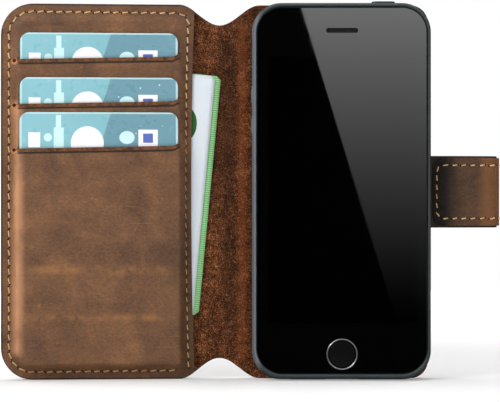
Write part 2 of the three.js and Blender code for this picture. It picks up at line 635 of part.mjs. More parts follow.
const straight = roundedRectangle(FOLD_GAP, SIDE_LENGTH, strapLow, strapHigh, 0);
const liningEnd = roundedRectangle(LINING_FOLD_GAP, SIDE_LENGTH, strapLow + 0.6, strapHigh - 0.6, 0);
add(strap, 'strap_side_leather', slab(straight, ...outerLeather), pullUpLeather);
add(strap, 'strap_side_lining', slab(liningEnd, ...innerLining), pullUpLeather);

const bendFrom = 20;                    // degrees of the bend left free at each end of its middle piece
add(strap, 'strap_bend_leather', bendPiece(bendFrom, BEND_ANGLE - bendFrom, outerLeather), pullUpLeather);
add(strap, 'strap_bend_lining', bendPiece(bendFrom, BEND_ANGLE - bendFrom, innerLining), pullUpLeather);

// The tip's own frame starts where the bend ends.
const tip = new THREE.Group();
const bend = rad(BEND_ANGLE);
tip.position.set(SIDE_LENGTH + BEND_R * Math.sin(bend), BEND_R * (1 - Math.cos(bend)), 0);
tip.rotation.z = bend;
strap.add(tip);

const MAGNET = { x0: 8, x1: 21, thickness: 0.5 };

function tipLeather() {
  const outline = roundedRectangle(0.3, TIP_LENGTH, strapLow, strapHigh, [0, TIP_CORNER_R, TIP_CORNER_R, 0]);
  return slab(outline, ...outerLeather);
}

function tipLining() {
  const inset = 0.6;
  const outline = roundedRectangle(
    0.3, TIP_LENGTH - inset, strapLow + inset, strapHigh - inset, [0, TIP_CORNER_R, TIP_CORNER_R, 0],
  );
  const sheet = solidOf(slab(outline, ...innerLining));
  const floorY = innerLining[1] - MAGNET.thickness - 0.1;
  const pocket = solidOf(box(
    MAGNET.x0 - 0.3, MAGNET.x1 + 0.3, floorY, innerLining[1] + 1, MIDDLE_Z - 8.3, MIDDLE_Z + 8.3,
  ));
  return geometryOf(sheet.subtract(pocket));
}

function sideSeam() {
  const inset = 2.6;
  return [
    { x: SIDE_LENGTH - 0.6, z: strapLow + inset },
    { x: inset, z: strapLow + inset },
    { x: inset, z: strapHigh - inset },
    { x: SIDE_LENGTH - 0.6, z: strapHigh - inset },
  ];
}

add(tip, 'strap_tip_leather', tipLeather(), pullUpLeather);
add(tip, 'strap_tip_lining', tipLining(), pullUpLeather);
const magnet = roundedRectangle(MAGNET.x0, MAGNET.x1, MIDDLE_Z - 8, MIDDLE_Z + 8, 1.5);
add(tip, 'strap_magnet', slab(magnet, innerLining[1] - MAGNET.thickness, innerLining[1]), darkSteel);
add(strap, 'strap_side_thread', threadLine(sideSeam(), innerLining[0] - THREAD_CLEAR - THREAD), thread);

export default root;
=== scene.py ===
"""The looks of a phone wallet case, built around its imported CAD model. Metres, +Z up, front towards -Y."""

import json
import math
import random

import bmesh
import bpy
from mathutils import Matrix, Vector


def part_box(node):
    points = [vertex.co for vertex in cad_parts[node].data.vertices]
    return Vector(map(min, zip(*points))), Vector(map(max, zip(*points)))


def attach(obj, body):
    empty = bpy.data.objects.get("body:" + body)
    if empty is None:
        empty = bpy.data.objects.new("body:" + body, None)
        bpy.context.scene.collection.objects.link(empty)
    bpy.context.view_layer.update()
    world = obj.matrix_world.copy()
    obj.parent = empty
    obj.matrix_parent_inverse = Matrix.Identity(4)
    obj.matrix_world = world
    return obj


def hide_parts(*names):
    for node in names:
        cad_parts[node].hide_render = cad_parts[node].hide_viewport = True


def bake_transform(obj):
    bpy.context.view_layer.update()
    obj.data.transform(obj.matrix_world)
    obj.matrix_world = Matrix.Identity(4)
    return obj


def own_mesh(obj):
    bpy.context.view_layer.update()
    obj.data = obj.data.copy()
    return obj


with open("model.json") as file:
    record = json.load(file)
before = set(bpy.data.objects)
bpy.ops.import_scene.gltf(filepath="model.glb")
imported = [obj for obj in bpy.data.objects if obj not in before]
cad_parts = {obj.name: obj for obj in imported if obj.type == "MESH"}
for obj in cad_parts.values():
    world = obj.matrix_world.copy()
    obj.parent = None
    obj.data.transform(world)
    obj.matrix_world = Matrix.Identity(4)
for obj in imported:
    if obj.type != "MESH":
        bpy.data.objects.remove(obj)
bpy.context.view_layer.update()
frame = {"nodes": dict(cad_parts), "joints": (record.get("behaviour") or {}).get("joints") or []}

MM = 0.001
rng = random.Random(5)
PIVOT = {j["name"]: Vector(j["pos_m"]) / MM for j in frame["joints"] if "pos_m" in j}


def size_of(node):
    low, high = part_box(node)
    return low / MM, high / MM


# ---------------------------------------------------------------- places and sizes, in millimetres
BACK_FOLD = PIVOT["spine_fold"]
COVER_FOLD = PIVOT["cover_fold"]
BACK_LOW, BACK_HIGH = size_of("back_leather")
LEATHER = BACK_HIGH.y - BACK_LOW.y
HEIGHT = BACK_HIGH.z
MIDDLE = HEIGHT / 2
SPINE = (BACK_FOLD.xy - COVER_FOLD.xy).length
FOLD_TURN = math.atan2(BACK_FOLD.y - COVER_FOLD.y, BACK_FOLD.x - COVER_FOLD.x)
COVER_TURN = 2 * FOLD_TURN
COVER_WIDTH = 67.3
BACK_WIDTH = BACK_HIGH.x - BACK_FOLD.x
COVER_CORNER = 11.0
BACK_CORNER = 6.0
NOTCH_DEPTH = 7.0
NOTCH_HALF = 14.0
NOTCH_CENTRE = -10.1
FOLD_REACH = 3.5                    # leather on each side of a fold that takes part in the bend

# The pocket panel. u runs from the cover's free edge towards the fold, w forward from its inner face.
PANEL = 0.6
PANEL_REST = 0.45
NOTE_ROOM = 0.9
CARD_STEP = 1.52
SLITS = [110.6, 95.2, 79.9]
SLIT_LEFT = 5.6
SLIT_RIGHT = 61.6
SLIT_LENGTH = SLIT_RIGHT - SLIT_LEFT
SLIT_MIDDLE = (SLIT_LEFT + SLIT_RIGHT) / 2
SLIT_TILT = 1.1                     # how much higher a slit is at its right end
HOOK_START = 58.4
SLIT_HOOK = 1.1                     # how much it climbs again from there to its right end
CARD_LEFT = 6.61
CARD_WIDTH = 53.98
CARD_THICKNESS = 0.76
CARD_CORNER = 3.18
PANEL_RIGHT = 66.4
PANEL_BOW = 1.2
BOW_START = 62                      # the panel left of this stays where it is sewn
END_ZONE = 12.0                     # the part of each end that follows the scoop and the corners
SEWN_CORNER = 10
SEAM = 2.7                          # stitches from the sewn edges
SEAM_END = 60.2                     # where the long seams stop beside the open edge
SEAM_CORNER = 8.0
PITCH = 3.2                         # of the stitches

# The closing strap. p runs along it from the side fold.
SIDE_FOLD = PIVOT["strap_side_fold"]
STRAP_LOW, STRAP_HIGH = size_of("strap_base_leather")
STRAP_WIDTH = STRAP_HIGH.z - STRAP_LOW.z
STRAP_TURN = math.radians(10)
STRAP_LEATHER = 1.2
STRAP_LINING = 0.8
GLUE = 0.05
LINING_INSET = 0.6                  # the lining stops this far inside the outer leather
SIDE_LENGTH = 13.8
BEND_R = 4.5
BEND_TURN = math.radians(170)
BEND_LENGTH = BEND_R * BEND_TURN
TIP_LENGTH = 28.6
TIP_CORNER = 9.0

# The camera, level and square to the phone.
LENS = 124.5
SENSOR = 36
CAMERA_X = -0.99
CAMERA_Z = 61.4
CAMERA_BACK = 590.0


def smoothstep(t):
    t = min(1.0, max(0.0, t))
    return t * t * (3 - 2 * t)


def ramp(t, start, end):
    return smoothstep((t - start) / (end - start))


def spaced(start, end, step):
    """Evenly spaced numbers from start up to, but without, end."""
    count = max(1, round((end - start) / step))
    return [start + (end - start) * i / count for i in range(count)]


# ---------------------------------------------------------------- mesh helpers
BROAD_FACE = 40                     # mm2, larger than any face of a curved part
SLOTS = 4                           # a sheet's materials: its own side, its other side, its rim and its slits
RIM = 2
SLIT_EDGE = 3
Y_WITH_Z = Matrix(((1, 0, 0, 0), (0, 0, 1, 0), (0, 1, 0, 0), (0, 0, 0, 1)))
X_WITH_Y = Matrix(((0, 1, 0, 0), (1, 0, 0, 0), (0, 0, 1, 0), (0, 0, 0, 1)))


def shares(count):
    """The numbers from 0 to 1 in count equal steps."""
    return [i / count for i in range(count + 1)]


def new_object(name, vertices, faces):
    mesh = bpy.data.meshes.new(name)
    mesh.from_pydata([tuple(v) for v in vertices], [], faces)
    mesh.update()
    thing = bpy.data.objects.new(name, mesh)
    bpy.context.scene.collection.objects.link(thing)
    mesh.polygons.foreach_set("use_smooth", [True] * len(mesh.polygons))
    return thing


def grid(name, columns, rows, point, turned=False, left_open=None):
    """A sheet with a vertex for every column and row, without the faces where left_open(i, j) is true."""
    high = len(rows)
    vertices = [point(column, row) for column in columns for row in rows]
    faces = []
    for i in range(len(columns) - 1):
        for j in range(high - 1):
            if left_open and left_open(i, j):
                continue
            a = i * high + j
            b = a + high
            faces.append([a, a + 1, b + 1, b] if turned else [a, b, b + 1, a + 1])
    return new_object(name, vertices, faces)


def tube_faces(base, rings, sides):
    """The faces of a tube through rings of equally many points, closed at both ends."""
    faces = []
    for ring in range(rings - 1):
        for side in range(sides):
            a = base + ring * sides + side
            b = base + ring * sides + (side + 1) % sides
            faces.append([a, b, b + sides, a + sides])
    faces.append([base + side for side in reversed(range(sides))])
    faces.append([base + (rings - 1) * sides + side for side in range(sides)])
    return faces


def apply_modifiers(thing):
    depsgraph = bpy.context.evaluated_depsgraph_get()
    done = bpy.data.meshes.new_from_object(thing.evaluated_get(depsgraph))
    thing.modifiers.clear()
    thing.data = done


def solidify(thing, thickness):
    """Thickens a grid both ways: its own side keeps material 0, the other side has 1 and the rim 2."""
    for _ in range(SLOTS):
        thing.data.materials.append(None)
    step = thing.modifiers.new("thick", "SOLIDIFY")
    step.thickness = thickness
    step.offset = 0
    step.material_offset = 1
    step.material_offset_rim = RIM
    apply_modifiers(thing)


def bevel(thing, width, segments=3, angle=50):
    step = thing.modifiers.new("bevel", "BEVEL")
    step.width = width
    step.segments = segments
    step.limit_method = "ANGLE"
    step.angle_limit = math.radians(angle)
    apply_modifiers(thing)


def cut(thing, cutter):
    step = thing.modifiers.new("cut", "BOOLEAN")
    step.operation = "DIFFERENCE"
    step.solver = "EXACT"
    step.object = cutter
    apply_modifiers(thing)
    bpy.data.objects.remove(cutter)


def outward(thing, merge=0.0):
    """Makes every face look outwards, after joining vertices closer together than merge."""
    work = bmesh.new()
    work.from_mesh(thing.data)
    if merge:
        bmesh.ops.remove_doubles(work, verts=work.verts, dist=merge)
    bmesh.ops.recalc_face_normals(work, faces=work.faces)
    work.to_mesh(thing.data)
    work.free()


def mark_rim(thing):
    """Gives the faces round the edge of a flat sheet the rim's material."""
    for polygon in thing.data.polygons:
        if abs(polygon.normal.y) < 0.5:
            polygon.material_index = RIM


def swapped(thing, axes):
    """Swaps two axes of a made shape."""
    thing.data.transform(axes)
    thing.data.flip_normals()
    return thing


def sharpen(thing, angle=40):
    """Splits the shading along edges steeper than the angle, and keeps broad faces flat."""
    work = bmesh.new()
    work.from_mesh(thing.data)
    for edge in work.edges:
        if len(edge.link_faces) == 2:
            edge.smooth = edge.calc_face_angle(0) < math.radians(angle)
    for face in work.faces:
        if face.calc_area() > BROAD_FACE:
            face.smooth = False
    work.to_mesh(thing.data)
    work.free()


def place(thing, move=Vector):
    """Keeps the made shape as the attribute 'flat', which the materials read, then moves every vertex."""
    mesh = thing.data
    flat = mesh.attributes.new("flat", "FLOAT_VECTOR", "POINT")
    for vertex, kept in zip(mesh.vertices, flat.data):
        kept.vector = vertex.co.copy()
        vertex.co = move(vertex.co) * MM
    mesh.update()
    return thing


def part_between(source, name, low, high):
    """A copy of the stretch of a flat piece from x = low to x = high, closed where it is cut."""
    work = bmesh.new()
    work.from_mesh(source.data)
    for x, direction in ((low, -1), (high, 1)):
        if x is None:
            continue
        shape = work.verts[:] + work.edges[:] + work.faces[:]
        cut_line = bmesh.ops.bisect_plane(
            work, geom=shape, dist=1e-5, plane_co=(x, 0, 0), plane_no=(direction, 0, 0), clear_outer=True
        )["geom_cut"]
        edges = [e for e in cut_line if isinstance(e, bmesh.types.BMEdge)]
        caps = bmesh.ops.holes_fill(work, edges=edges)["faces"]
        for cap in caps:
            cap.material_index = RIM
            for edge in cap.edges:
                edge.smooth = False
    mesh = bpy.data.meshes.new(name)
    for _ in range(SLOTS):
        mesh.materials.append(None)
    work.to_mesh(mesh)
    work.free()
    thing = bpy.data.objects.new(name, mesh)
    bpy.context.scene.collection.objects.link(thing)
    return thing


def finish_piece(thing, materials, body=None, nodes=()):
    """Gives a piece its materials and body, and hides the CAD nodes that it stands for."""
    slots = thing.data.materials
    while len(slots) < len(materials):
        slots.append(None)
    for k in range(len(slots)):
        slots[k] = materials[min(k, len(materials) - 1)]
    if body:
        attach(thing, body)
    if nodes:
        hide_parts(*nodes)
    return thing


def rounded_loop(x0, x1, z0, z1, radius, y, steps=12):
    """Points of a rounded rectangle, anticlockwise as seen from the front."""
    points = []
    corners = [(x1 - radius, z0 + radius, -90), (x1 - radius, z1 - radius, 0)]
    corners += [(x0 + radius, z1 - radius, 90), (x0 + radius, z0 + radius, 180)]
    for cx, cz, start in corners:
        for i in range(steps + 1):
            angle = math.radians(start + 90 * i / steps)
            points.append(Vector((cx + radius * math.cos(angle), y, cz + radius * math.sin(angle))))
    return points


def loft(name, loops):
    """A closed body through loops of equally many points, from its front to its back."""
    count = len(loops[0])
    vertices = [p for loop in loops for p in loop]
    faces = [list(range(count))]
    for k in range(len(loops) - 1):
        for i in range(count):
            j = (i + 1) % count
            a, b = k * count, (k + 1) * count
            faces.append([a + j, a + i, b + i, b + j])
    last = (len(loops) - 1) * count
    faces.append([last + i for i in reversed(range(count))])
    return new_object(name, vertices, faces)


def soft_slab(name, x0, x1, z0, z1, radius, front, back, edge, steps=12):
    """A rounded rectangular plate with soft front and back edges."""
    profile = [(1.0, 0.0), (0.3, 0.3), (0.0, 1.0)]
    levels = [(inset * edge, front + depth * edge) for inset, depth in profile]
    levels += [(inset * edge, back - depth * edge) for inset, depth in reversed(profile)]
    loops = [rounded_loop(x0 + d, x1 - d, z0 + d, z1 - d, radius - d, y, steps) for d, y in levels]
    return loft(name, loops)


def block(x0, x1, y0, y1, z0, z1, radius):
    """A cutter with rounded corners along y."""
    radius = min(radius, 0.49 * (x1 - x0), 0.49 * (z1 - z0))
    return loft("cutter", [rounded_loop(x0, x1, z0, z1, radius, y, 6) for y in (y0, y1)])


def upright_block(x0, x1, y0, y1, z0, z1, radius):
    """A cutter with rounded corners along z."""
    return swapped(block(x0, x1, z0, z1, y0, y1, radius), Y_WITH_Z)


def sideways_block(x0, x1, y0, y1, z0, z1, radius):
    """A cutter with rounded corners along x."""
    return swapped(block(y0, y1, x0, x1, z0, z1, radius), X_WITH_Y)


def lathe(name, centre, profile):
    """Turns a profile of (radius, y) about the line through the centre along y."""
    steps = 96
    vertices = []
    faces = []
    for r, y in profile:
        for i in range(steps):
            angle = 2 * math.pi * i / steps
            vertices.append(Vector((centre.x + r * math.cos(angle), y, centre.z + r * math.sin(angle))))
    for k in range(len(profile) - 1):
        for i in range(steps):
            j = (i + 1) % steps
            faces.append([k * steps + i, k * steps + j, (k + 1) * steps + j, (k + 1) * steps + i])
    thing = new_object(name, vertices, faces)
    outward(thing, 1e-4)
    sharpen(thing, 50)
    return place(thing)


# ---------------------------------------------------------------- materials
def tint(red, green, blue, light=1.0):
    """A colour given as the eye sees it, from 0 to 255, made linear."""
    parts = [c * light / 255 for c in (red, green, blue)]
    return tuple(c / 12.92 if c <= 0.04045 else ((c + 0.055) / 1.055) ** 2.4 for c in parts) + (1.0,)


class Finish:
    """One procedural material, with short names for the nodes it is built from."""

    def __init__(self, name, **fixed):
        self.material = bpy.data.materials.new(name)
        self.material.use_nodes = True
        self.tree = self.material.node_tree
        self.shader = self.tree.nodes["Principled BSDF"]
        for socket, value in fixed.items():
            self.shader.inputs[socket.replace("_", " ")].default_value = value
        source = self.node("ShaderNodeAttribute")
        source.attribute_name = "flat"
        self.flat = source.outputs["Vector"]

    def node(self, kind, inputs=(), **settings):
        made = self.tree.nodes.new(kind)
        for key, value in settings.items():
            setattr(made, key, value)
        for socket, value in dict(inputs).items():
            if isinstance(value, bpy.types.NodeSocket):
                self.tree.links.new(value, made.inputs[socket])
            else:
                made.inputs[socket].default_value = value
        return made

    def stretched(self, scale, turn=0.0):
        """The flat coordinates scaled along each axis and turned in the plane of the sheet."""
        inputs = {"Vector": self.flat, "Scale": scale, "Rotation": (0, turn, 0)}
        return self.node("ShaderNodeMapping", inputs).outputs[0]

    def noise(self, scale, detail=3.0, roughness=0.5, distortion=0.0, vector=None):
        inputs = {"Vector": vector or self.flat, "Scale": scale, "Detail": detail}
        inputs |= {"Roughness": roughness, "Distortion": distortion}
        return self.node("ShaderNodeTexNoise", inputs).outputs["Fac"]

    def cells(self, scale, vector=None, feature="F1"):
        inputs = {"Vector": vector or self.flat, "Scale": scale}
        return self.node("ShaderNodeTexVoronoi", inputs, feature=feature).outputs["Distance"]

    def wave(self, scale, distortion=0.0, vector=None, direction="X"):
        inputs = {"Vector": vector or self.flat, "Scale": scale, "Distortion": distortion}
        return self.node("ShaderNodeTexWave", inputs, bands_direction=direction).outputs["Fac"]

    def part(self, axis):
        """One of the flat coordinates, in millimetres."""
        return self.node("ShaderNodeSeparateXYZ", {0: self.flat}).outputs[axis]

    def math(self, operation, first, second=0.0, third=0.0):
        return self.node("ShaderNodeMath", {0: first, 1: second, 2: third}, operation=operation).outputs[0]

    def times(self, first, second):
        return self.math("MULTIPLY", first, second)

    def minus(self, first, second):
        return self.math("SUBTRACT", first, second)

    def plus(self, first, second):
        return self.math("ADD", first, second)

    def between(self, value, low, high, to_low=0.0, to_high=1.0):
        """value mapped smoothly from low..high to to_low..to_high."""
        inputs = {"Value": value, "From Min": low, "From Max": high, "To Min": to_low, "To Max": to_high}
        return self.node("ShaderNodeMapRange", inputs, interpolation_type="SMOOTHSTEP").outputs[0]

    def mix(self, factor, first, second):
        inputs = {0: factor, 6: first, 7: second}
        return self.node("ShaderNodeMix", inputs, data_type="RGBA").outputs[2]

    def stain(self, base, mask, strength, colour):
        """Lays a colour over the base where the mask is 1, at the given strength."""
        return self.mix(self.times(mask, strength), base, colour)

    def colours(self, factor, stops):
        made = self.node("ShaderNodeValToRGB", {0: factor})
        elements = made.color_ramp.elements
        while len(elements) < len(stops):
            elements.new(0.5)
        for element, (position, colour) in zip(elements, stops):
            element.position = position
            element.color = colour
        return made.outputs[0]

    def bump(self, height, depth, below=None):
        """Relief of the given depth in millimetres, on top of the relief below."""
        inputs = {"Height": height, "Strength": 1.0, "Distance": depth * MM}
        if below:
            inputs["Normal"] = below
        return self.node("ShaderNodeBump", inputs).outputs[0]

    def use(self, **links):
        for socket, value in links.items():
            self.tree.links.new(value, self.shader.inputs[socket.replace("_", " ")])
        return self.material


def spot(finish, u, z, half_u, half_z, soft=0.35):
    """1 inside an ellipse on the sheet and 0 outside it."""
    du = finish.math("DIVIDE", finish.minus(finish.part(0), u), half_u)
    dz = finish.math("DIVIDE", finish.minus(finish.part(2), z), half_z)
    squares = finish.plus(finish.times(du, du), finish.times(dz, dz))
    return finish.between(squares, 1 - soft, 1 + soft, 1.0, 0.0)


def band(finish, value, low, high, soft):
    """1 where value is between low and high."""
    above = finish.between(value, low - soft, low + soft)
    return finish.times(above, finish.between(value, high - soft, high + soft, 1.0, 0.0))


def rectangle(finish, u0, u1, z0, z1, soft=0.1):
    """1 inside a rectangle on the sheet and 0 outside it."""
    across = band(finish, finish.part(0), u0, u1, soft)
    return finish.times(across, band(finish, finish.part(2), z0, z1, soft))


def panel_marks(f, base):
    """The panel's left slope, lighter where the leather is stretched and with painted highlight where it
    faces the light, painted shade towards its right edge, the dark edge paint round its outline, and the
    rolled lips and end holes of its slits, with painted shadow in the groove below each lip and a painted
    highlight on each hole's lower rim.
    """
    u = f.part(0)
    z = f.part(2)
    # Lighter where the leather is stretched over the cards' left edges, plus painted highlight where this
    # slope faces the key light.
    stretch_and_painted_highlight = rectangle(f, 3.9, 7.6, 9, HEIGHT - 34, 1.6)
    patch = f.between(f.noise(0.09, 3, 0.5), 0.3, 0.62, 0.45, 1.0)
    base = f.stain(base, f.times(stretch_and_painted_highlight, patch), 0.66, tint(200, 144, 104))
    pressed = f.math("MAXIMUM", band(f, z, 36.6, 39.0, 1.5), band(f, z, 20.6, 22.6, 1.3))
    pressed = f.times(pressed, f.between(f.noise(0.2, 4, 0.7), 0.35, 0.65, 0.0, 0.42))
    base = f.stain(base, pressed, band(f, u, 9, PANEL_RIGHT - 10, 3), tint(172, 118, 62))
    # Painted shade: darker towards the right edge, where the panel curves away from the light.
    right = f.between(u, PANEL_RIGHT - 7, PANEL_RIGHT - 3)
    base = f.stain(base, right, 0.3, tint(62, 42, 28))
    aside = f.math("MAXIMUM", f.minus(SEWN_CORNER, u), 0.0)
    end = f.math("MAXIMUM", f.minus(SEWN_CORNER, f.math("MINIMUM", z, f.minus(HEIGHT, z))), 0.0)
    squares = f.plus(f.times(aside, aside), f.times(end, end))
    from_edge = f.minus(SEWN_CORNER, f.math("SQRT", squares))
    base = f.mix(f.between(from_edge, 0.3, 0.75, 0.85, 0.0), base, tint(26, 19, 15))
    climb = f.math("MULTIPLY_ADD", u, -SLIT_TILT / SLIT_LENGTH, SLIT_TILT * SLIT_MIDDLE / SLIT_LENGTH)
    row = f.minus(f.plus(z, climb), f.between(u, HOOK_START, SLIT_RIGHT, 0.0, SLIT_HOOK))
    along = rectangle(f, SLIT_LEFT + 0.4, SLIT_RIGHT - 0.4, 0, HEIGHT, 0.4)
    rolled = f.mix(f.between(f.noise(0.6, 4, 0.7), 0.35, 0.65), tint(62, 34, 17), tint(126, 78, 40))
    for slit in SLITS:
        lip = f.times(band(f, row, slit - 1.3, slit + 0.5, 0.15), along)
        # The lip takes the raw edge's colour; the groove below it gets painted shadow, a dark line under the
        # rolled lip.
        painted_groove_shadow = f.times(band(f, row, slit - 2.0, slit - 1.35, 0.2), along)
        base = f.stain(base, lip, 0.85, rolled)
        base = f.stain(base, painted_groove_shadow, 0.85, tint(22, 13, 8))
        end_u, end_z = SLIT_LEFT - 1.0, slit - SLIT_TILT / 2 - 0.5
        # Painted highlight: a tan ring on the lower rim of each end hole, where light falls; the dark spot
        # laid over it is the hole.
        base = f.mix(spot(f, end_u, end_z - 0.35, 1.05, 1.05), base, tint(176, 112, 62))
        base = f.mix(spot(f, end_u, end_z, 0.68, 0.62), base, tint(34, 19, 10))
    return base


def strap_marks(f, base):
    """Painted shadow, near black, beside the shell, and pulled to a light brown where the strap bends back.
    """
    along = f.part(0)
    rubbed_and_painted_highlight = band(f, along, SECTION_ONE + 4.6, SECTION_TWO + 4.0, 2.4)
    base = f.stain(base, rubbed_and_painted_highlight, 0.6, tint(126, 80, 40))
    # Painted shadow: near black beside the shell, which shades this end of the strap.
    painted_shell_shadow = f.between(along, LINING_START + 2.5, LINING_START + 10.0, 0.88, 0.0)
    return f.mix(painted_shell_shadow, base, tint(14, 11, 8))


def waxed_leather(name, bands=True, dark=1.0, marks=None):
    """Waxed pull-up leather: dark where it lies flat, tan where it is rubbed or stretched."""
    f = Finish(name, Metallic=0.0, Specular_IOR_Level=0.35)
    broad = f.noise(0.035, 4, 0.55, 0.6)
    cloudy = f.noise(0.11, 5, 0.6, 0.5)
    across = f.noise(0.05, 4, 0.55, 0.5, f.stretched((0.25, 1, 2.0)))
    fibre = f.noise(0.9, 4, 0.65, 0.3, f.stretched((1.0, 1, 1.6), 0.5))
    speckle = f.noise(2.6, 3, 0.7)
    tone = f.math("MULTIPLY_ADD", cloudy, 0.34, f.times(broad, 0.3))
    tone = f.math("MULTIPLY_ADD", across, 0.2 if bands else 0.1, tone)
    tone = f.math("MULTIPLY_ADD", fibre, 0.34, tone)
    tone = f.math("MULTIPLY_ADD", speckle, 0.26, tone)
    base = f.colours(f.between(tone, 0.42, 1.0), [
        (0.0, tint(62, 41, 26, dark)),
        (0.35, tint(93, 63, 42, dark)),
        (0.65, tint(115, 79, 51, dark)),
        (1.0, tint(152, 104, 64, dark)),
    ])
    scuff = f.between(f.noise(0.22, 5, 0.75, 1.4, f.stretched((0.6, 1, 1.5), 0.35)), 0.61, 0.74)
    base = f.stain(base, scuff, 0.6, tint(164, 110, 52))
    scratch = f.between(f.noise(0.5, 2, 0.5, 0.2, f.stretched((0.12, 1, 3.5), -0.5)), 0.70, 0.76)
    base = f.stain(base, scratch, 0.3, tint(156, 112, 70))
    if marks:
        base = marks(f, base)
    grain = f.cells(1.9, f.stretched((1, 1, 1.2)), "SMOOTH_F1")
    pores = f.noise(3.4, 4, 0.6)
    creases = f.noise(0.5, 6, 0.7, 1.0)
    relief = f.bump(creases, 0.16)
    relief = f.bump(grain, 0.10, relief)
    relief = f.bump(pores, 0.07, relief)
    gloss = f.between(tone, 0.5, 1.0, 0.62, 0.46)
    return f.use(Base_Color=base, Roughness=gloss, Normal=relief)


def suede_leather():
    """The flesh side: short fibres lying in every direction, in clumps of light and dark."""
    fuzz = {"Sheen_Weight": 0.25, "Sheen_Roughness": 0.5, "Sheen_Tint": tint(190, 130, 90)}
    f = Finish("suede", Metallic=0.0, Specular_IOR_Level=0.12, Roughness=0.95, **fuzz)
    one = f.noise(1.25, 3, 0.75, 2.0, f.stretched((1.9, 1, 0.8), 0.5))
    two = f.noise(1.35, 3, 0.75, 2.0, f.stretched((0.9, 1, 1.8), -0.5))
    fibres = f.math("MAXIMUM", one, two)
    clumps = f.noise(0.22, 4, 0.6)
    tone = f.math("MULTIPLY_ADD", clumps, 0.18, fibres)
    base = f.colours(f.between(tone, 0.54, 0.78), [
        (0.0, tint(24, 13, 6)), (0.36, tint(72, 37, 17)),
        (0.62, tint(124, 70, 36)), (1.0, tint(196, 134, 92)),
    ])
    worn = f.noise(0.06, 3, 0.5, 0.4, f.stretched((1.6, 1, 0.3)))
    base = f.mix(f.between(worn, 0.42, 0.62, 0.0, 0.3), base, tint(34, 20, 11))
    # Painted shade: a darker band where the spine bows back into a hollow.
    painted_hollow_shade = rectangle(f, -9.4, -4.2, 12, HEIGHT - 12, 2.0)
    base = f.stain(base, painted_hollow_shade, 0.4, tint(28, 17, 9))
    # Painted highlight: a lighter reddish band along the fold beside the back, where the suede turns towards
    # the light.
    painted_fold_highlight = rectangle(f, -3.6, -0.9, 6, HEIGHT - 6, 1.0)
    base = f.stain(base, painted_fold_highlight, 0.3, tint(140, 72, 38))
    relief = f.bump(fibres, 0.35)
    relief = f.bump(f.noise(4.5, 2, 0.6), 0.12, relief)
    return f.use(Base_Color=base, Normal=relief)


def painted_edge():
    """The sealed cut edge of the leather."""
    f = Finish("edge_paint", Metallic=0.0, Specular_IOR_Level=0.4)
    blotch = f.noise(0.6, 4, 0.6)
    base = f.colours(blotch, [(0.3, tint(26, 19, 15)), (0.75, tint(62, 42, 30))])
    relief = f.bump(f.noise(2.2, 3), 0.05)
    return f.use(Base_Color=base, Roughness=f.between(blotch, 0.2, 0.8, 0.38, 0.6), Normal=relief)


def raw_edge():
    """The bare cut edge along the pocket slits, with the layers of the hide showing."""
    f = Finish("raw_edge", Metallic=0.0, Specular_IOR_Level=0.25)
    layers = f.noise(1.1, 4, 0.7, 0.6, f.stretched((0.5, 1, 3)))
    base = f.colours(layers, [(0.25, tint(70, 42, 24)), (0.5, tint(120, 78, 46)), (0.8, tint(166, 112, 68))])
    return f.use(Base_Color=base, Roughness=f.between(layers, 0, 1, 0.85, 0.65), Normal=f.bump(layers, 0.12))


def woven_lining():
    f = Finish("woven_lining", Metallic=0.0, Roughness=0.85, Specular_IOR_Level=0.2)
    warp = f.wave(1.1, 0.4, direction="X")
    weft = f.wave(1.1, 0.4, direction="Z")
    weave = f.times(warp, weft)
    slub = f.noise(0.5, 3, 0.6, 0.0, f.stretched((0.2, 1, 2)))
    tone = f.math("MULTIPLY_ADD", weave, 0.6, f.times(slub, 0.5))
    base = f.mix(tone, tint(58, 43, 34), tint(112, 88, 68))
    return f.use(Base_Color=base, Normal=f.bump(weave, 0.12))


def sewing_thread():
    """Waxed thread, laid up from three strands."""
    f = Finish("waxed_thread", Metallic=0.0, Specular_IOR_Level=0.4, Roughness=0.55)
    strands = f.wave(3.2, 0.3, direction="DIAGONAL")
    soiled = f.noise(0.12, 4, 0.6)
    base = f.mix(strands, tint(206, 146, 76), tint(255, 232, 184))
    base = f.mix(f.between(soiled, 0.42, 0.66, 0.0, 0.4), base, tint(170, 112, 56))
    return f.use(Base_Color=base, Normal=f.bump(strands, 0.08))


def stitch_hole():
    f = Finish("stitch_hole", Metallic=0.0, Roughness=0.9, Specular_IOR_Level=0.1)
    depth = f.noise(1.5, 2)
    return f.use(Base_Color=f.mix(depth, tint(18, 10, 6), tint(48, 28, 17)))


def moulded_shell():
    """Flexible moulded plastic with a satin skin, and painted highlight down its left side."""
    f = Finish("moulded_shell", Metallic=0.0, Specular_IOR_Level=0.5)
    fine = f.noise(5.0, 3, 0.6)
    broad = f.noise(0.06, 3, 0.5)
    base = f.mix(broad, tint(44, 51, 52), tint(58, 66, 68))
    # Painted highlight: the shell's left side is lighter, where the key light falls on it.
    rubbed_and_painted_highlight = f.between(f.part(0), SHELL_LOW.x + 1.2, SHELL_LOW.x + 4.0, 1.0, 0.0)
    base = f.stain(base, rubbed_and_painted_highlight, 0.85, tint(104, 112, 120))
    gloss = f.math("MULTIPLY_ADD", fine, 0.16, f.between(broad, 0.3, 0.7, 0.36, 0.46))
    return f.use(Base_Color=base, Roughness=gloss, Normal=f.bump(fine, 0.012))


def dark_plastic(name="phone_black", roughness=0.28, specular=0.5):
    f = Finish(name, Metallic=0.0, Specular_IOR_Level=specular)
    mottle = f.noise(3.0, 3, 0.6)
    base = f.mix(mottle, tint(9, 9, 10), tint(17, 17, 19))
    smear = f.noise(0.15, 4, 0.6, 0.5)
    return f.use(Base_Color=base, Roughness=f.between(smear, 0.3, 0.7, roughness, roughness + 0.12))


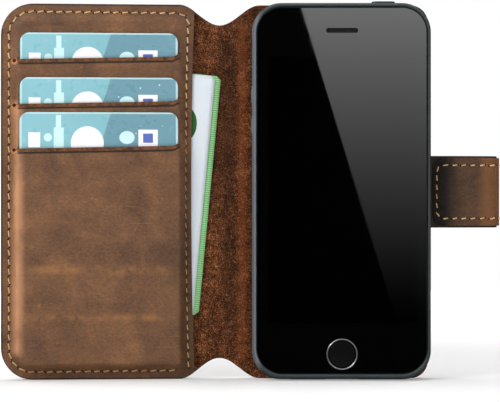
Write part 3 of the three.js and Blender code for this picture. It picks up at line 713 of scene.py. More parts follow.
def cover_glass():
    """Polished glass over a dark display, with faint smears."""
    f = Finish("cover_glass", Metallic=0.0, Specular_IOR_Level=0.5, IOR=1.5)
    smear = f.noise(0.08, 5, 0.6, 1.2, f.stretched((1, 1, 0.4), 0.4))
    display = rectangle(f, GLASS_X0 + 3.6, GLASS_X1 - 3.6, GLASS_Z0 + 17, GLASS_Z1 - 16.5, 0.05)
    base = f.mix(display, tint(3, 3, 3), tint(1, 1, 1))
    return f.use(Base_Color=base, Roughness=f.between(smear, 0.35, 0.7, 0.012, 0.03))


def brushed_metal(name, light, dark, roughness):
    f = Finish(name, Metallic=1.0)
    lines = f.noise(6.0, 3, 0.7, 0.0, f.stretched((1, 1, 6)))
    base = f.mix(lines, light, dark)
    return f.use(Base_Color=base, Roughness=f.between(lines, 0.2, 0.8, roughness, roughness + 0.14))


def earpiece_grille():
    f = Finish("earpiece_grille", Metallic=0.8)
    holes = f.between(f.cells(2.4, f.stretched((1, 1, 1.1))), 0.22, 0.34)
    base = f.mix(holes, tint(6, 6, 7), tint(46, 46, 50))
    return f.use(Base_Color=base, Roughness=f.between(holes, 0, 1, 0.9, 0.4), Normal=f.bump(holes, 0.08))


def card_print(top):
    """A printed card: a sea-green ground with a darker corner and plain shapes along its upper edge."""
    f = Finish("card_print", Metallic=0.0, Specular_IOR_Level=0.5, Coat_Weight=0.25)
    u = f.part(0)
    z = f.part(2)

    def box(left, right, foot, head, soft=0.1):
        return rectangle(f, CARD_LEFT + left, CARD_LEFT + right, top - foot, top - head, soft)

    def oval(along, down, half_u, half_z, soft):
        return spot(f, CARD_LEFT + along, top - down, half_u, half_z, soft)

    ground = f.mix(f.between(u, CARD_LEFT, CARD_LEFT + 54), tint(132, 184, 194), tint(122, 174, 184))
    lean = 0.32
    slant = f.minus(u, f.math("MULTIPLY_ADD", z, lean, CARD_LEFT + 29.5 - lean * (top - 5)))
    ground = f.mix(f.between(slant, -0.1, 0.1), ground, tint(104, 146, 160))
    white = tint(238, 238, 240)
    pale = tint(196, 228, 230)
    shapes = [
        (box(12.3, 14.1, 30, 1.0), pale),
        (box(11.6, 15.0, 30, 5.2), pale),
        (oval(36.5, 8.6, 2.6, 2.2, 0.06), pale),
        (oval(23.0, 10.6, 5.6, 5.8, 0.04), white),
        (box(40.4, 47.0, 12, 5.9), white),
        (box(42.0, 45.4, 10.4, 7.2), tint(84, 104, 178)),
        (box(3.0, 7.0, 12, 6.9), white),
        (oval(9.6, 8.6, 1.4, 1.4, 0.08), pale),
    ]
    for shape, colour in shapes:
        ground = f.mix(shape, ground, colour)
    dots = f.between(f.cells(0.22), 0.05, 0.07, 1.0, 0.0)
    ground = f.stain(ground, dots, f.between(slant, 0, 1), pale)
    rim = f.minus(1.0, box(0.75, 53.2, 84.8, 0.55, 0.12))
    ground = f.stain(ground, rim, 0.75, tint(190, 222, 228))
    wear = f.noise(0.3, 5, 0.6)
    ground = f.mix(f.between(wear, 0.6, 0.8, 0.0, 0.18), ground, tint(220, 230, 232))
    return f.use(Base_Color=ground, Roughness=f.between(wear, 0.3, 0.7, 0.26, 0.36))


def note_paper():
    """Pale banknote paper with fine curved line work and one dark oval."""
    f = Finish("note_paper", Metallic=0.0, Specular_IOR_Level=0.25, Roughness=0.75)
    lines = f.wave(0.9, 6.0, f.stretched((1, 1, 0.35), 0.5))
    tangle = f.wave(0.7, 9.0, f.stretched((0.6, 1, 0.9), -0.7))
    print_tone = f.times(f.between(lines, 0.5, 1.0), f.between(tangle, 0.4, 1.0))
    base = f.mix(f.times(print_tone, 0.28), tint(206, 212, 218), tint(150, 172, 188))
    oval = spot(f, -9.0, -17.5, 4.2, 6.0, 0.06)
    base = f.mix(oval, base, tint(40, 92, 34))
    fibres = f.noise(1.6, 4, 0.7)
    return f.use(Base_Color=base, Normal=f.bump(fibres, 0.04))


def green_paper():
    """Green banknotes: close horizontal bands across a bright ground, painted light and shade on the ridged
    edges of the stacked notes.
    """
    f = Finish("green_paper", Metallic=0.0, Specular_IOR_Level=0.25, Roughness=0.7)
    # Painted light and shade: lighter and darker horizontal bands stand for the lit and shaded edges of the
    # stacked notes.
    painted_ridge_shading = f.wave(0.42, 1.2, direction="Z")
    fine = f.wave(1.6, 3.0, f.stretched((1, 1, 0.4), 0.6))
    tone = f.math("MULTIPLY_ADD", painted_ridge_shading, 0.65, f.times(fine, 0.3))
    base = f.mix(tone, tint(84, 156, 92), tint(172, 226, 160))
    return f.use(Base_Color=base, Normal=f.bump(painted_ridge_shading, 0.1))


def adhesive_film():
    f = Finish("adhesive_film", Metallic=0.0, Specular_IOR_Level=0.4)
    bubbles = f.noise(0.8, 4, 0.6)
    base = f.mix(bubbles, tint(176, 172, 160), tint(206, 203, 192))
    return f.use(Base_Color=base, Roughness=f.between(bubbles, 0.3, 0.7, 0.35, 0.6))


# ---------------------------------------------------------------- cover, spine and back in one skin
def notch(s):
    """How far the scoop over the spine cuts into the top and bottom edges; s is 0 at the back fold."""
    turn = math.pi * min(1.0, abs(s - NOTCH_CENTRE) / NOTCH_HALF)
    return NOTCH_DEPTH / 2 * (1 + math.cos(turn))


def corner_cut(distance, radius):
    """How much a rounded corner takes off the edge at a distance from the end."""
    if distance >= radius:
        return 0.0
    return radius - math.sqrt(max(0.0, radius**2 - (radius - distance) ** 2))


def folio_edge(s):
    left = corner_cut(s + SPINE + COVER_WIDTH, COVER_CORNER)
    right = corner_cut(BACK_WIDTH - s, BACK_CORNER)
    return notch(s) + left + right


def folio_point(co):
    """From the flat skin (s, y, z) to the standing case."""
    s, y, z = co
    cover_part = ramp(-(s + SPINE), -FOLD_REACH, FOLD_REACH)
    turn = Matrix.Rotation(FOLD_TURN * cover_part, 2)
    x, y = turn @ Vector((s + SPINE, y))
    turn = Matrix.Rotation(FOLD_TURN * ramp(-s, -FOLD_REACH, FOLD_REACH), 2)
    x, y = turn @ Vector((x - SPINE, y))
    return Vector((BACK_FOLD.x + x, BACK_FOLD.y + y, z))


def arc_steps(radius):
    """Distances from an end at which a rounded corner's edge is sampled."""
    count = 9
    return [radius * (1 - math.cos(math.pi / 2 * i / count)) for i in range(count)]


def folio_columns():
    """Where the flat skin has its columns, which are closer together across the spine and its folds."""
    left = -SPINE - COVER_WIDTH
    fine_from, fine_to = -25, 5
    columns = [left + d for d in arc_steps(COVER_CORNER)]
    columns += spaced(left + COVER_CORNER, fine_from, 2.6)
    columns += spaced(fine_from, fine_to, 0.75)
    columns += spaced(fine_to, BACK_WIDTH - BACK_CORNER, 2.6)
    return columns + [BACK_WIDTH - d for d in reversed(arc_steps(BACK_CORNER))]


def folio_vertex(s, share):
    """A point of the flat skin, which ripples a little over the spine."""
    low = folio_edge(s)
    z = low + (HEIGHT - 2 * low) * share
    soft = ramp(s, -20, -15) * (1 - ramp(s, -6, -1.5))
    wave = 0.12 * math.sin(z / 9.0 + 0.35 * s) + 0.08 * math.sin(z / 4.1 - 0.6 * s)
    return Vector((s, -wave * soft, z))


def flat_folio():
    skin = grid("folio_flat", folio_columns(), shares(56), folio_vertex, turned=True)
    solidify(skin, LEATHER)
    window = block(CAMERA_X0, CAMERA_X1, -3, 3, CAMERA_Z0, CAMERA_Z1, 4.5)
    window.data.transform(Matrix.Translation((-BACK_FOLD.x, 0, 0)))
    cut(skin, window)
    mark_rim(skin)
    bevel(skin, 0.3, 3, 60)
    sharpen(skin, 50)
    return skin


def folio_skin():
    flat = flat_folio()
    half = -SPINE / 2
    materials = [waxed_leather("folio_leather"), SUEDE, EDGE]
    front = place(part_between(flat, "folio_cover_half", None, half), folio_point)
    finish_piece(front, materials, None, ["cover_leather"])
    back = place(part_between(flat, "folio_back_half", half, None), folio_point)
    finish_piece(back, materials, None, ["back_leather", "spine_leather"])
    bpy.data.objects.remove(flat)
    for thing, a, b, s in ((front, "spine", "cover", -SPINE), (back, "back", "spine", 0.0)):
        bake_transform(thing)


# ---------------------------------------------------------------- the pocket panel and what it holds
def cover_point(co):
    """From (u, -w, z) on the cover to the standing case."""
    u, y, z = co
    return folio_point_rigid(u - COVER_WIDTH, y - LEATHER / 2, z)


def folio_point_rigid(along, y, z):
    turned = Matrix.Rotation(COVER_TURN, 2) @ Vector((along, y))
    return Vector((COVER_FOLD.x + turned.x, COVER_FOLD.y + turned.y, z))


def panel_edge(z):
    """The bowed right edge of the panel."""
    return PANEL_RIGHT - PANEL_BOW * (1 - ((z - MIDDLE) / MIDDLE) ** 2)


def from_sewn_edge(u, z):
    end = min(z, HEIGHT - z)
    if u < SEWN_CORNER and end < SEWN_CORNER:
        return SEWN_CORNER - math.hypot(SEWN_CORNER - u, SEWN_CORNER - end)
    return min(u, end)


def slit_shift(u, row):
    """How far the panel's rows climb towards the right, and hook up at the right end of each slit."""
    tilt = SLIT_TILT * (u - SLIT_MIDDLE) / SLIT_LENGTH * ramp(row, 20, 60) * (1 - ramp(row, 112, 126))
    hook = SLIT_HOOK * ramp(u, HOOK_START, SLIT_RIGHT) - 0.35 * (1 - ramp(u, SLIT_LEFT, 7.5))
    return tilt + hook * sum(math.exp(-(((row - slit) / 2.4) ** 2)) for slit in SLITS)


def slit_rise(u, row, slit):
    """0 above a slit and 1 below it: sudden along the slit, easing out past its ends."""
    past = max(SLIT_LEFT - u, u - SLIT_RIGHT)
    sharp = min(1.0, max(0.0, -past / 0.9))
    away = smoothstep(abs(row - slit) / 4)
    side = -1 if row > slit else 1
    return 0.5 * (1 + side * max(sharp, away))


def slit_lip(row):
    """The rolled edge below a slit, and the groove pressed along it."""
    lip = 0.0
    for slit in SLITS:
        below = slit - row
        if 0 < below < 5:
            lip += 0.04 * math.exp(-((below / 0.95) ** 2)) - 0.2 * math.exp(-(((below - 1.6) / 0.42) ** 2))
    return lip


def panel_back(u, row, z):
    """The back face of the panel, in front of the cover's leather."""
    steps = sum(slit_rise(u, row, slit) for slit in SLITS)
    right = 1 - ramp(u, 60.7, 64.2)
    edge = from_sewn_edge(u, z)
    up = ramp(edge, 3.2, 6.2)
    crown = 0.4 * ramp(edge, 6, 22) * (1 - ramp(u, 46, 61)) * (1 - ramp(row, 62, 76))
    ripple = 0.10 * math.sin(row / 5.3 + u / 13) * math.sin(u / 8.7 - row / 21) * (1 - ramp(row, 70, 78))
    inside = ramp(u, 6.5, 9) * (1 - ramp(u, 58.5, 60.5))
    raised = NOTE_ROOM + right * steps * CARD_STEP + inside * slit_lip(row)
    return PANEL_REST + up * raised + right * (crown + ripple * up)


SEWN_STEPS = [0, 0.12, 0.45, 1.0, 1.7, 2.4, 2.9]
STEPS_BELOW_SLIT = (0.1, 0.3, 0.55, 0.8, 1.0, 1.15, 1.3, 1.45, 1.6, 1.8, 2.1, 2.5, 3.2, 4.2)
STEPS_ABOVE_SLIT = (0.1, 0.6, 1.4, 2.6, 4.2)


def panel_columns():
    columns = SEWN_STEPS + spaced(3.2, SLIT_LEFT, 0.3) + spaced(SLIT_LEFT, 7.4, 0.3)
    columns += spaced(7.4, HOOK_START, 1.5) + spaced(HOOK_START, SLIT_RIGHT, 0.4)
    return columns + spaced(SLIT_RIGHT, 64.4, 0.35) + [64.4, 65.0, 65.6, 66.1, PANEL_RIGHT]


def panel_rows():
    ends = SEWN_STEPS + spaced(3.2, 6.8, 0.3) + [6.8, 8.0, 9.4, 11.0, END_ZONE]
    rows = ends + [HEIGHT - r for r in ends]
    for slit in SLITS:
        rows += [slit - d for d in STEPS_BELOW_SLIT] + [slit + d for d in STEPS_ABOVE_SLIT]
    rows += spaced(13.6, SLITS[2] - 5.4, 1.7)
    for k in (0, 1):
        rows += spaced(SLITS[k + 1] + 5.6, SLITS[k] - 4.8, 1.6)
    rows += spaced(SLITS[0] + 5.2, HEIGHT - 12.4, 1.0)
    return sorted(set(rows))


def panel_point(u, row):
    """Where a grid point of the panel lies on the cover, and its own u, z."""
    low = notch(u - COVER_WIDTH - SPINE) + corner_cut(u, COVER_CORNER)
    z = row
    if row < END_ZONE:
        z = low + row * (END_ZONE - low) / END_ZONE
    elif HEIGHT - row < END_ZONE:
        z = HEIGHT - low - (HEIGHT - row) * (END_ZONE - low) / END_ZONE
    z += slit_shift(u, row)
    if u > BOW_START:
        u = BOW_START + (u - BOW_START) * (panel_edge(z) - BOW_START) / (PANEL_RIGHT - BOW_START)
    return u, z


def panel_vertex(column, row):
    u, z = panel_point(column, row)
    return Vector((u, -(panel_back(u, row, z) + PANEL / 2), z))


def pocket_panel():
    columns = panel_columns()
    rows = panel_rows()

    def on_slit(i, j):
        row = (rows[j] + rows[j + 1]) / 2
        inside = SLIT_LEFT < (columns[i] + columns[i + 1]) / 2 < SLIT_RIGHT
        return inside and any(abs(row - slit) < 0.01 for slit in SLITS)

    panel = grid("pocket_panel_leather", columns, rows, panel_vertex, left_open=on_slit)
    solidify(panel, PANEL)
    for polygon in panel.data.polygons:
        centre = polygon.center
        near = min(abs(centre.z - slit - slit_shift(centre.x, slit)) for slit in SLITS)
        if polygon.material_index == RIM and near < 0.6 and 5 < centre.x < 62.2:
            polygon.material_index = SLIT_EDGE
    bevel(panel, 0.13, 2, 60)
    sharpen(panel, 55)
    place(panel, cover_point)
    materials = [waxed_leather("panel_leather", marks=panel_marks), SUEDE, EDGE, raw_edge()]
    finish_piece(panel, materials, "cover", ["pocket_panel"])


def cover_lining():
    """The cloth glued over the inside of the cover, in the banknote compartment."""
    flat_width = 62.0
    inset = 0.7
    columns = [inset + d for d in arc_steps(COVER_CORNER)]
    columns += spaced(inset + COVER_CORNER, flat_width, 3.4) + [flat_width]

    def vertex(u, share):
        low = inset + corner_cut(u - inset, COVER_CORNER)
        return Vector((u, -0.2, low + (HEIGHT - 2 * low) * share))

    lining = grid("cover_lining_cloth", columns, shares(40), vertex)
    solidify(lining, 0.3)
    place(lining, cover_point)
    finish_piece(lining, [LINING], "cover", ["cover_lining"])


def pocket_liners():
    """A thin cloth behind each card."""
    width = 53.4
    low = 6.2
    columns = [CARD_LEFT + 0.3 + width * share for share in shares(18)]
    for k, slit in enumerate(SLITS):
        w = PANEL_REST + NOTE_ROOM + k * CARD_STEP + PANEL - 0.24
        high = slit - 0.8
        rows = [low + (high - low) * share for share in shares(18)]
        liner = grid(f"card_liner_cloth_{k + 1}", columns, rows, lambda u, z: Vector((u, -w, z)))
        solidify(liner, 0.2)
        place(liner, cover_point)
        finish_piece(liner, [LINING], "cover", [f"card_liner_{k + 1}"])


def cards():
    for k in range(len(SLITS)):
        node = f"card_{k + 1}"
        low, high = size_of(node)
        back = -(PANEL_REST + NOTE_ROOM + k * CARD_STEP + PANEL + 0.08)
        front = back - CARD_THICKNESS
        right = CARD_LEFT + CARD_WIDTH
        card = soft_slab(
            "plastic_" + node, CARD_LEFT, right, low.z, high.z, CARD_CORNER, front, back, 0.16
        )
        sharpen(card, 60)
        place(card, cover_point)
        finish_piece(card, [card_print(high.z)], node, [node])


NOTE_LEAN = math.radians(5.4)
NOTE_WIDTH = 46
NOTE_TOP = 104.5
NOTE_CORNER = 1.3


def note_point(right, w):
    """From a note's own sheet, whose top right corner is 0, to the standing case."""
    def move(co):
        x, y, z = co
        u = right + x * math.cos(NOTE_LEAN) + z * math.sin(NOTE_LEAN)
        height = NOTE_TOP - x * math.sin(NOTE_LEAN) + z * math.cos(NOTE_LEAN)
        return cover_point((u, -w + y, height))
    return move


def note(name, height, right, w, wave, thickness, material, body, nodes):
    """A slightly wavy sheet with small rounded corners."""
    def vertex(share, rise):
        x = -NOTE_WIDTH * (1 - share)
        low = corner_cut(min(x + NOTE_WIDTH, -x), NOTE_CORNER)
        z = -height + low + (height - 2 * low) * rise
        curl = wave * math.sin(z / 11 + x / 9) * ramp(-x, -1, 5) - 0.24 * ramp(x, -9, 0)
        return Vector((x, curl, z))

    thing = grid(name, shares(30), shares(50), vertex)
    solidify(thing, thickness)
    place(thing, note_point(right, w))
    finish_piece(thing, [material], body, nodes)
    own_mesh(thing)


def banknotes():
    white = note_paper()
    green = green_paper()
    note("white_banknote", 84, 73.6, 1.1, 0.05, 0.14, white, "white_note", ["white_note"])
    note("green_banknote", 83, 75.6, 0.62, 0.04, 0.12, green, "green_note", ["green_note"])
    note("green_banknote_under", 83, 75.3, 0.47, 0.02, 0.08, green, "green_note", [])


# ---------------------------------------------------------------- stitches
THREAD_RADIUS = 0.24
THREAD_RINGS = 9
SLANT = 10.0                        # degrees between a stitch and its seam
ROUND = 8                           # sides of a thread and of a hole
HOLE_RINGS = ((0.035, 0.30), (-0.08, 0.42))    # each ring's height over the leather and its radius


def along_path(points, pitch):
    """Evenly spaced (point, direction) pairs along a line of 2D points, from end to end."""
    lengths = [0.0]
    for a, b in zip(points, points[1:]):
        lengths.append(lengths[-1] + (b - a).length)
    count = round(lengths[-1] / pitch)
    found = []
    k = 0
    for i in range(count):
        s = lengths[-1] * (i + 0.5) / count
        while lengths[k + 1] < s:
            k += 1
        a, b = points[k], points[k + 1]
        t = (s - lengths[k]) / (lengths[k + 1] - lengths[k])
        found.append((a.lerp(b, t), (b - a).normalized()))
    return found


def arc(cx, cz, radius, start, end, count=8):
    angles = [math.radians(start + (end - start) * i / count) for i in range(count + 1)]
    return [Vector((cx + radius * math.cos(a), cz + radius * math.sin(a))) for a in angles]


def add_thread(mesh, centre, ahead, aside, long, radius, surface, front):
    """One stitch: a thread that rises from the leather, runs along it and dips back in."""
    vertices, faces = mesh
    faces += tube_faces(len(vertices), THREAD_RINGS, ROUND)
    for ring in range(THREAD_RINGS):
        t = ring / (THREAD_RINGS - 1)
        arch = math.sin(math.pi * t)
        lift = radius * (0.95 * arch**0.5 - 0.75)
        thick = radius * (0.55 + 0.45 * arch**0.4)
        middle = centre + ahead * (t - 0.5) * long
        y = surface(middle.x, middle.y) + front * lift
        for side in range(ROUND):
            angle = 2 * math.pi * side / ROUND
            spread = middle + aside * thick * math.cos(angle)
            vertices.append(Vector((spread.x, y + front * thick * math.sin(angle), spread.y)))


def add_hole(mesh, middle, surface, front):
    """The dark needle hole at one end of a stitch."""
    vertices, faces = mesh
    faces += tube_faces(len(vertices), len(HOLE_RINGS), ROUND)
    for level, size in HOLE_RINGS:
        y = surface(middle.x, middle.y) + front * level
        for side in range(ROUND):
            angle = 2 * math.pi * side / ROUND
            across, up = size * math.cos(angle), size * math.sin(angle)
            vertices.append(Vector((middle.x + across, y, middle.y + up)))


def stitch_row(points, surface, front, pitch=PITCH, length=2.45):
    """Thread and holes of one seam as (vertices, faces) lists in flat coordinates.

    surface(a, b) gives the y of the leather's face and front is -1 where it faces -Y, or 1.
    """
    thread_mesh = ([], [])
    hole_mesh = ([], [])
    for centre, direction in along_path(points, pitch):
        wander = rng.uniform(-2.5, 2.5)
        long = length * rng.uniform(0.94, 1.05)
        ahead = Matrix.Rotation(math.radians(SLANT + wander), 2) @ direction
        aside = Vector((-ahead.y, ahead.x))
        add_thread(thread_mesh, centre, ahead, aside, long, THREAD_RADIUS, surface, front)
        for end in (-0.5, 0.5):
            add_hole(hole_mesh, centre + ahead * (long + 0.15) * end, surface, front)
    return thread_mesh, hole_mesh


def sew(name, seams, move, bodies, nodes):
    """Makes the stitches and holes of several seams, placed by move, as two pieces."""
    for part, material in ((0, THREAD), (1, HOLE)):
        vertices = []
        faces = []
        for seam in seams:
            more_vertices, more_faces = seam[part]
            base = len(vertices)
            vertices += more_vertices
            faces += [[base + i for i in face] for face in more_faces]
        thing = new_object(name + ("_stitches" if part == 0 else "_holes"), vertices, faces)
        outward(thing)
        place(thing, move)
        body = bodies if isinstance(bodies, str) else None
        finish_piece(thing, [material], body, nodes if part == 0 else ())
        if body is None:
            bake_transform(thing)


def panel_face(u, z):
    """The y of the panel's front face, for the stitches near its edges."""
    return -(panel_back(u, z, z) + PANEL)


def perimeter_path():
    """The seam round the three sewn sides of the cover."""
    inner = SEAM + SEAM_CORNER
    points = [Vector((SEAM_END, SEAM + 0.25))]
    points += arc(inner, inner, SEAM_CORNER, 270, 180)
    points += arc(inner, HEIGHT - inner, SEAM_CORNER, 180, 90)
    points.append(Vector((SEAM_END, HEIGHT - SEAM - 0.25)))
    return points


def right_edge_path():
    """From the top seam round a small corner and down beside the panel's open edge."""
    points = arc(SEAM_END, HEIGHT - SEAM - 4.4, 4.1, 84, 12, 5)
    for share in shares(20):
        z = HEIGHT - 10.5 - (HEIGHT - 14.0) * share
        points.append(Vector((panel_edge(z) - 2.0, z)))
    return points


def cover_stitches():
    seams = [
        stitch_row(perimeter_path(), panel_face, -1),
        stitch_row(right_edge_path(), panel_face, -1),
    ]
    sew("pocket_panel", seams, cover_point, "cover", ["pocket_seam_thread", "pocket_edge_thread"])
    back = [stitch_row(perimeter_path(), lambda u, z: LEATHER, 1)]
    sew("cover_outer", back, cover_point, "cover", ["cover_seam_thread"])


# ---------------------------------------------------------------- the closing strap
STRAP_FREE = 42.8                   # from the side fold back to the round end of the base
BASE_CORNER = 11.9
LINING_CORNER = 3.8
LINING_START = -5.2
STRAP_SEAM = 3.2                    # stitches from the strap's edges
BASE_SEAM = 2.4
STRAP_PITCH = 3.05
STRAP_STITCH = 2.1
STRAP_END = SIDE_LENGTH + BEND_LENGTH + TIP_LENGTH
SECTION_ONE = SIDE_LENGTH / 2
SECTION_TWO = SIDE_LENGTH + BEND_LENGTH / 2


def strap_point(co):
    """From the flat strap (p, y, z), with p = 0 at the side fold, to its place at rest."""
    p, y, z = co
    past_bend = p - SIDE_LENGTH - BEND_LENGTH
    if p <= SIDE_LENGTH:
        local = Vector((p, y))
    elif past_bend <= 0:
        angle = (p - SIDE_LENGTH) / BEND_R
        reach = BEND_R - y
        local = Vector((SIDE_LENGTH + reach * math.sin(angle), BEND_R - reach * math.cos(angle)))
    else:
        start = Vector((SIDE_LENGTH + BEND_R * math.sin(BEND_TURN), BEND_R * (1 - math.cos(BEND_TURN))))
        local = start + Matrix.Rotation(BEND_TURN, 2) @ Vector((past_bend, y))
    turn = STRAP_TURN * ramp(p, -FOLD_REACH, FOLD_REACH)
    local = Matrix.Rotation(turn, 2) @ local
    return Vector((SIDE_FOLD.x + local.x, SIDE_FOLD.y + local.y, z))


def magnet_swell(p, z):
    """How far the lining stands out over the magnet in the strap's tip."""
    tip = p - SIDE_LENGTH - BEND_LENGTH
    along = ramp(tip, 6, 8.5) * (1 - ramp(tip, 20.5, 23))
    return -0.28 * along * (1 - ramp(abs(z - MIDDLE), 7.5, 10))


def strap_layer(name, left, right, half, middle, thick, left_corner):
    """One flat layer of the strap, from p = left to p = right."""
    columns = [left + d for d in arc_steps(left_corner)]
    columns += spaced(left + left_corner, -4, 2.0) if left < -20 else []
    columns += spaced(max(-4, left + left_corner), right - TIP_CORNER, 0.55)
    columns += [right - d for d in reversed(arc_steps(TIP_CORNER))]

    def vertex(p, share):
        reach = half - corner_cut(p - left, left_corner) - corner_cut(right - p, TIP_CORNER)
        z = MIDDLE - reach + 2 * reach * share
        return Vector((p, middle + (magnet_swell(p, z) if middle < 0 else 0.0), z))

    layer = grid(name, columns, shares(26), vertex)
    solidify(layer, thick)
    mark_rim(layer)
    bevel(layer, 0.24, 3, 60)
    sharpen(layer, 50)
    return layer


def blend_span(which):
    """The two bodies that a section of the strap joins, and where its bend starts and ends."""
    spans = {
        "side": ("back", "strap_side", -FOLD_REACH, FOLD_REACH),
        "bend": ("strap_side", "strap_bend", SIDE_LENGTH, SECTION_TWO),
        "tip": ("strap_bend", "strap_tip", SECTION_TWO, SIDE_LENGTH + BEND_LENGTH),
    }
    a, b, start, end = spans[which]
    return a, b, strap_point((start, 0, MIDDLE)) * MM, strap_point((end, 0, MIDDLE)) * MM


def strap():
    grain = waxed_leather("strap_leather", bands=False, dark=0.86)
    inside = waxed_leather("strap_inner_leather", bands=False, dark=0.86, marks=strap_marks)
    outer_y = 0.0
    lining_y = -(STRAP_LEATHER / 2 + GLUE + STRAP_LINING / 2)
    half = STRAP_WIDTH / 2
    outer = strap_layer("strap_flat", -STRAP_FREE, STRAP_END, half, outer_y, STRAP_LEATHER, BASE_CORNER)
    half -= LINING_INSET
    end = STRAP_END - LINING_INSET
    inner = strap_layer("strap_lining_flat", LINING_START, end, half, lining_y, STRAP_LINING, LINING_CORNER)
    stretches = {
        "side": (None, SECTION_ONE),
        "bend": (SECTION_ONE, SECTION_TWO),
        "tip": (SECTION_TWO, None),
    }
    stands_for = {
        "side": (["strap_base_leather", "strap_side_leather"], ["strap_base_lining", "strap_side_lining"]),
        "bend": (["strap_bend_leather"], ["strap_bend_lining"]),
        "tip": (["strap_tip_leather"], ["strap_tip_lining"]),
    }
    for which, (low, high) in stretches.items():
        for k, (source, kind) in enumerate(((outer, "outer"), (inner, "lining"))):
            piece = place(part_between(source, f"strap_{which}_{kind}_skin", low, high), strap_point)
            skins = [EDGE, grain, EDGE] if kind == "outer" else [inside, SUEDE, EDGE]
            finish_piece(piece, skins, None, stands_for[which][k])
            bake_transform(piece)
    bpy.data.objects.remove(outer)
    bpy.data.objects.remove(inner)


def strap_inner_face(p, z):
    """The y of the lining's face, the same at every place on the strap."""
    return -(STRAP_LEATHER / 2 + GLUE + STRAP_LINING)


def strap_outer_face(p, z):
    return STRAP_LEATHER / 2


def strap_row(path, surface, front):
    """A seam with the strap's own shorter stitches."""
    return stitch_row(path, surface, front, STRAP_PITCH, STRAP_STITCH)


def strap_stitches():
    low = STRAP_LOW.z + STRAP_SEAM
    high = STRAP_HIGH.z - STRAP_SEAM
    left = LINING_START + 1.2
    corner = 2.6
    side = arc(left + corner, low + corner, corner, 270, 180, 5)
    side += arc(left + corner, high - corner, corner, 180, 90, 5)
    side = [Vector((SECTION_ONE, low))] + side + [Vector((SECTION_ONE, high))]
    rows = [strap_row(side, strap_inner_face, -1)]
    sew("strap_side", rows, strap_point, blend_span("side"), ["strap_side_thread"])
    rows = []
    for z in (low, high):
        path = [Vector((SECTION_ONE, z)), Vector((SECTION_TWO, z))]
        rows.append(strap_row(path, strap_inner_face, -1))
    sew("strap_bend", rows, strap_point, blend_span("bend"), [])
    corner = 6.4
    end = STRAP_END - STRAP_SEAM - corner
    path = [Vector((SECTION_TWO, low)), Vector((end, low))]
    path += arc(end, low + corner, corner, 270, 360) + arc(end, high - corner, corner, 0, 90)
    path += [Vector((SECTION_TWO, high))]
    rows = [strap_row(path, strap_inner_face, -1), strap_row(path, strap_outer_face, 1)]
    sew("strap_tip", rows, strap_point, blend_span("tip"), [])
    right = BACK_HIGH.x - 2 - SIDE_FOLD.x
    round_x = -STRAP_FREE + STRAP_WIDTH / 2
    path = arc(round_x, MIDDLE, STRAP_WIDTH / 2 - BASE_SEAM, 270, 90, 16)
    path = [Vector((right, STRAP_LOW.z + BASE_SEAM))] + path + [Vector((right, STRAP_HIGH.z - BASE_SEAM))]
    path.append(path[0])
    rows = [stitch_row(path, strap_outer_face, 1)]
    sew("strap_base", rows, strap_point, "back", ["strap_base_thread"])


# ---------------------------------------------------------------- the phone and its shell
SHELL_LOW, SHELL_HIGH = size_of("phone_shell")
HOUSING_LOW, HOUSING_HIGH = size_of("phone_housing")
GLASS_LOW, GLASS_HIGH = size_of("front_glass")
GLASS_X0, GLASS_X1, GLASS_Z0, GLASS_Z1 = GLASS_LOW.x, GLASS_HIGH.x, GLASS_LOW.z, GLASS_HIGH.z
CAMERA_X0, CAMERA_X1, CAMERA_Z0, CAMERA_Z1 = 40.51, 57.51, 114.5, 124.5
RING_LOW, RING_HIGH = size_of("home_ring")
HOME = (RING_LOW + RING_HIGH) / 2
SHELL_CORNER = 10.0
SHELL_FLOOR = 1.0
WALL_SIDE = HOUSING_LOW.x - SHELL_LOW.x
WALL_FOOT = HOUSING_LOW.z
WALL_TOP = SHELL_HIGH.z - HOUSING_HIGH.z
PAD_Y = (size_of("power_pad")[0].y, size_of("power_pad")[1].y)
PORT_Y = (HOUSING_LOW.y + 1.2, HOUSING_HIGH.y - 1.2)
PAD_GAP = 0.3
VOLUME_PADS = ("volume_up_pad", "volume_down_pad")
SWITCH_Z = (104, 110)


def shell_loop(k, y, radius):
    """A loop of the shell: k is 0 on its widest outline and 1 on the inner wall."""
    left = SHELL_LOW.x + WALL_SIDE * k
    right = SHELL_HIGH.x - WALL_SIDE * k
    return rounded_loop(left, right, WALL_FOOT * k, SHELL_HIGH.z - WALL_TOP * k, radius, y, 14)


def shell_openings():
    """Cutters for the sockets in the foot, and for the button caps and the switch."""
    front, back = PORT_Y
    ports = [(-6, 6, 0, 1.4), (-23, -17, 0, 2.3), (11, 23, 1, 1.2)]
    openings = []
    for start, end, inset, radius in ports:
        openings.append(upright_block(
            HOME.x + start, HOME.x + end, front + inset, back - inset, -1, WALL_FOOT + 0.6, radius
        ))
    front, back = PAD_Y[0] - PAD_GAP, PAD_Y[1] + PAD_GAP
    low, high = size_of("power_pad")
    inner, outer = HOUSING_HIGH.z - PAD_GAP, SHELL_HIGH.z + 1
    openings.append(upright_block(low.x - PAD_GAP, high.x + PAD_GAP, front, back, inner, outer, 1.2))
    heights = [(low.z - PAD_GAP, high.z + PAD_GAP) for low, high in map(size_of, VOLUME_PADS)]
    inner, outer = HOUSING_LOW.x + PAD_GAP, SHELL_LOW.x - 1
    openings += [sideways_block(outer, inner, front, back, z0, z1, 1.2) for z0, z1 in [*heights, SWITCH_Z]]
    return openings


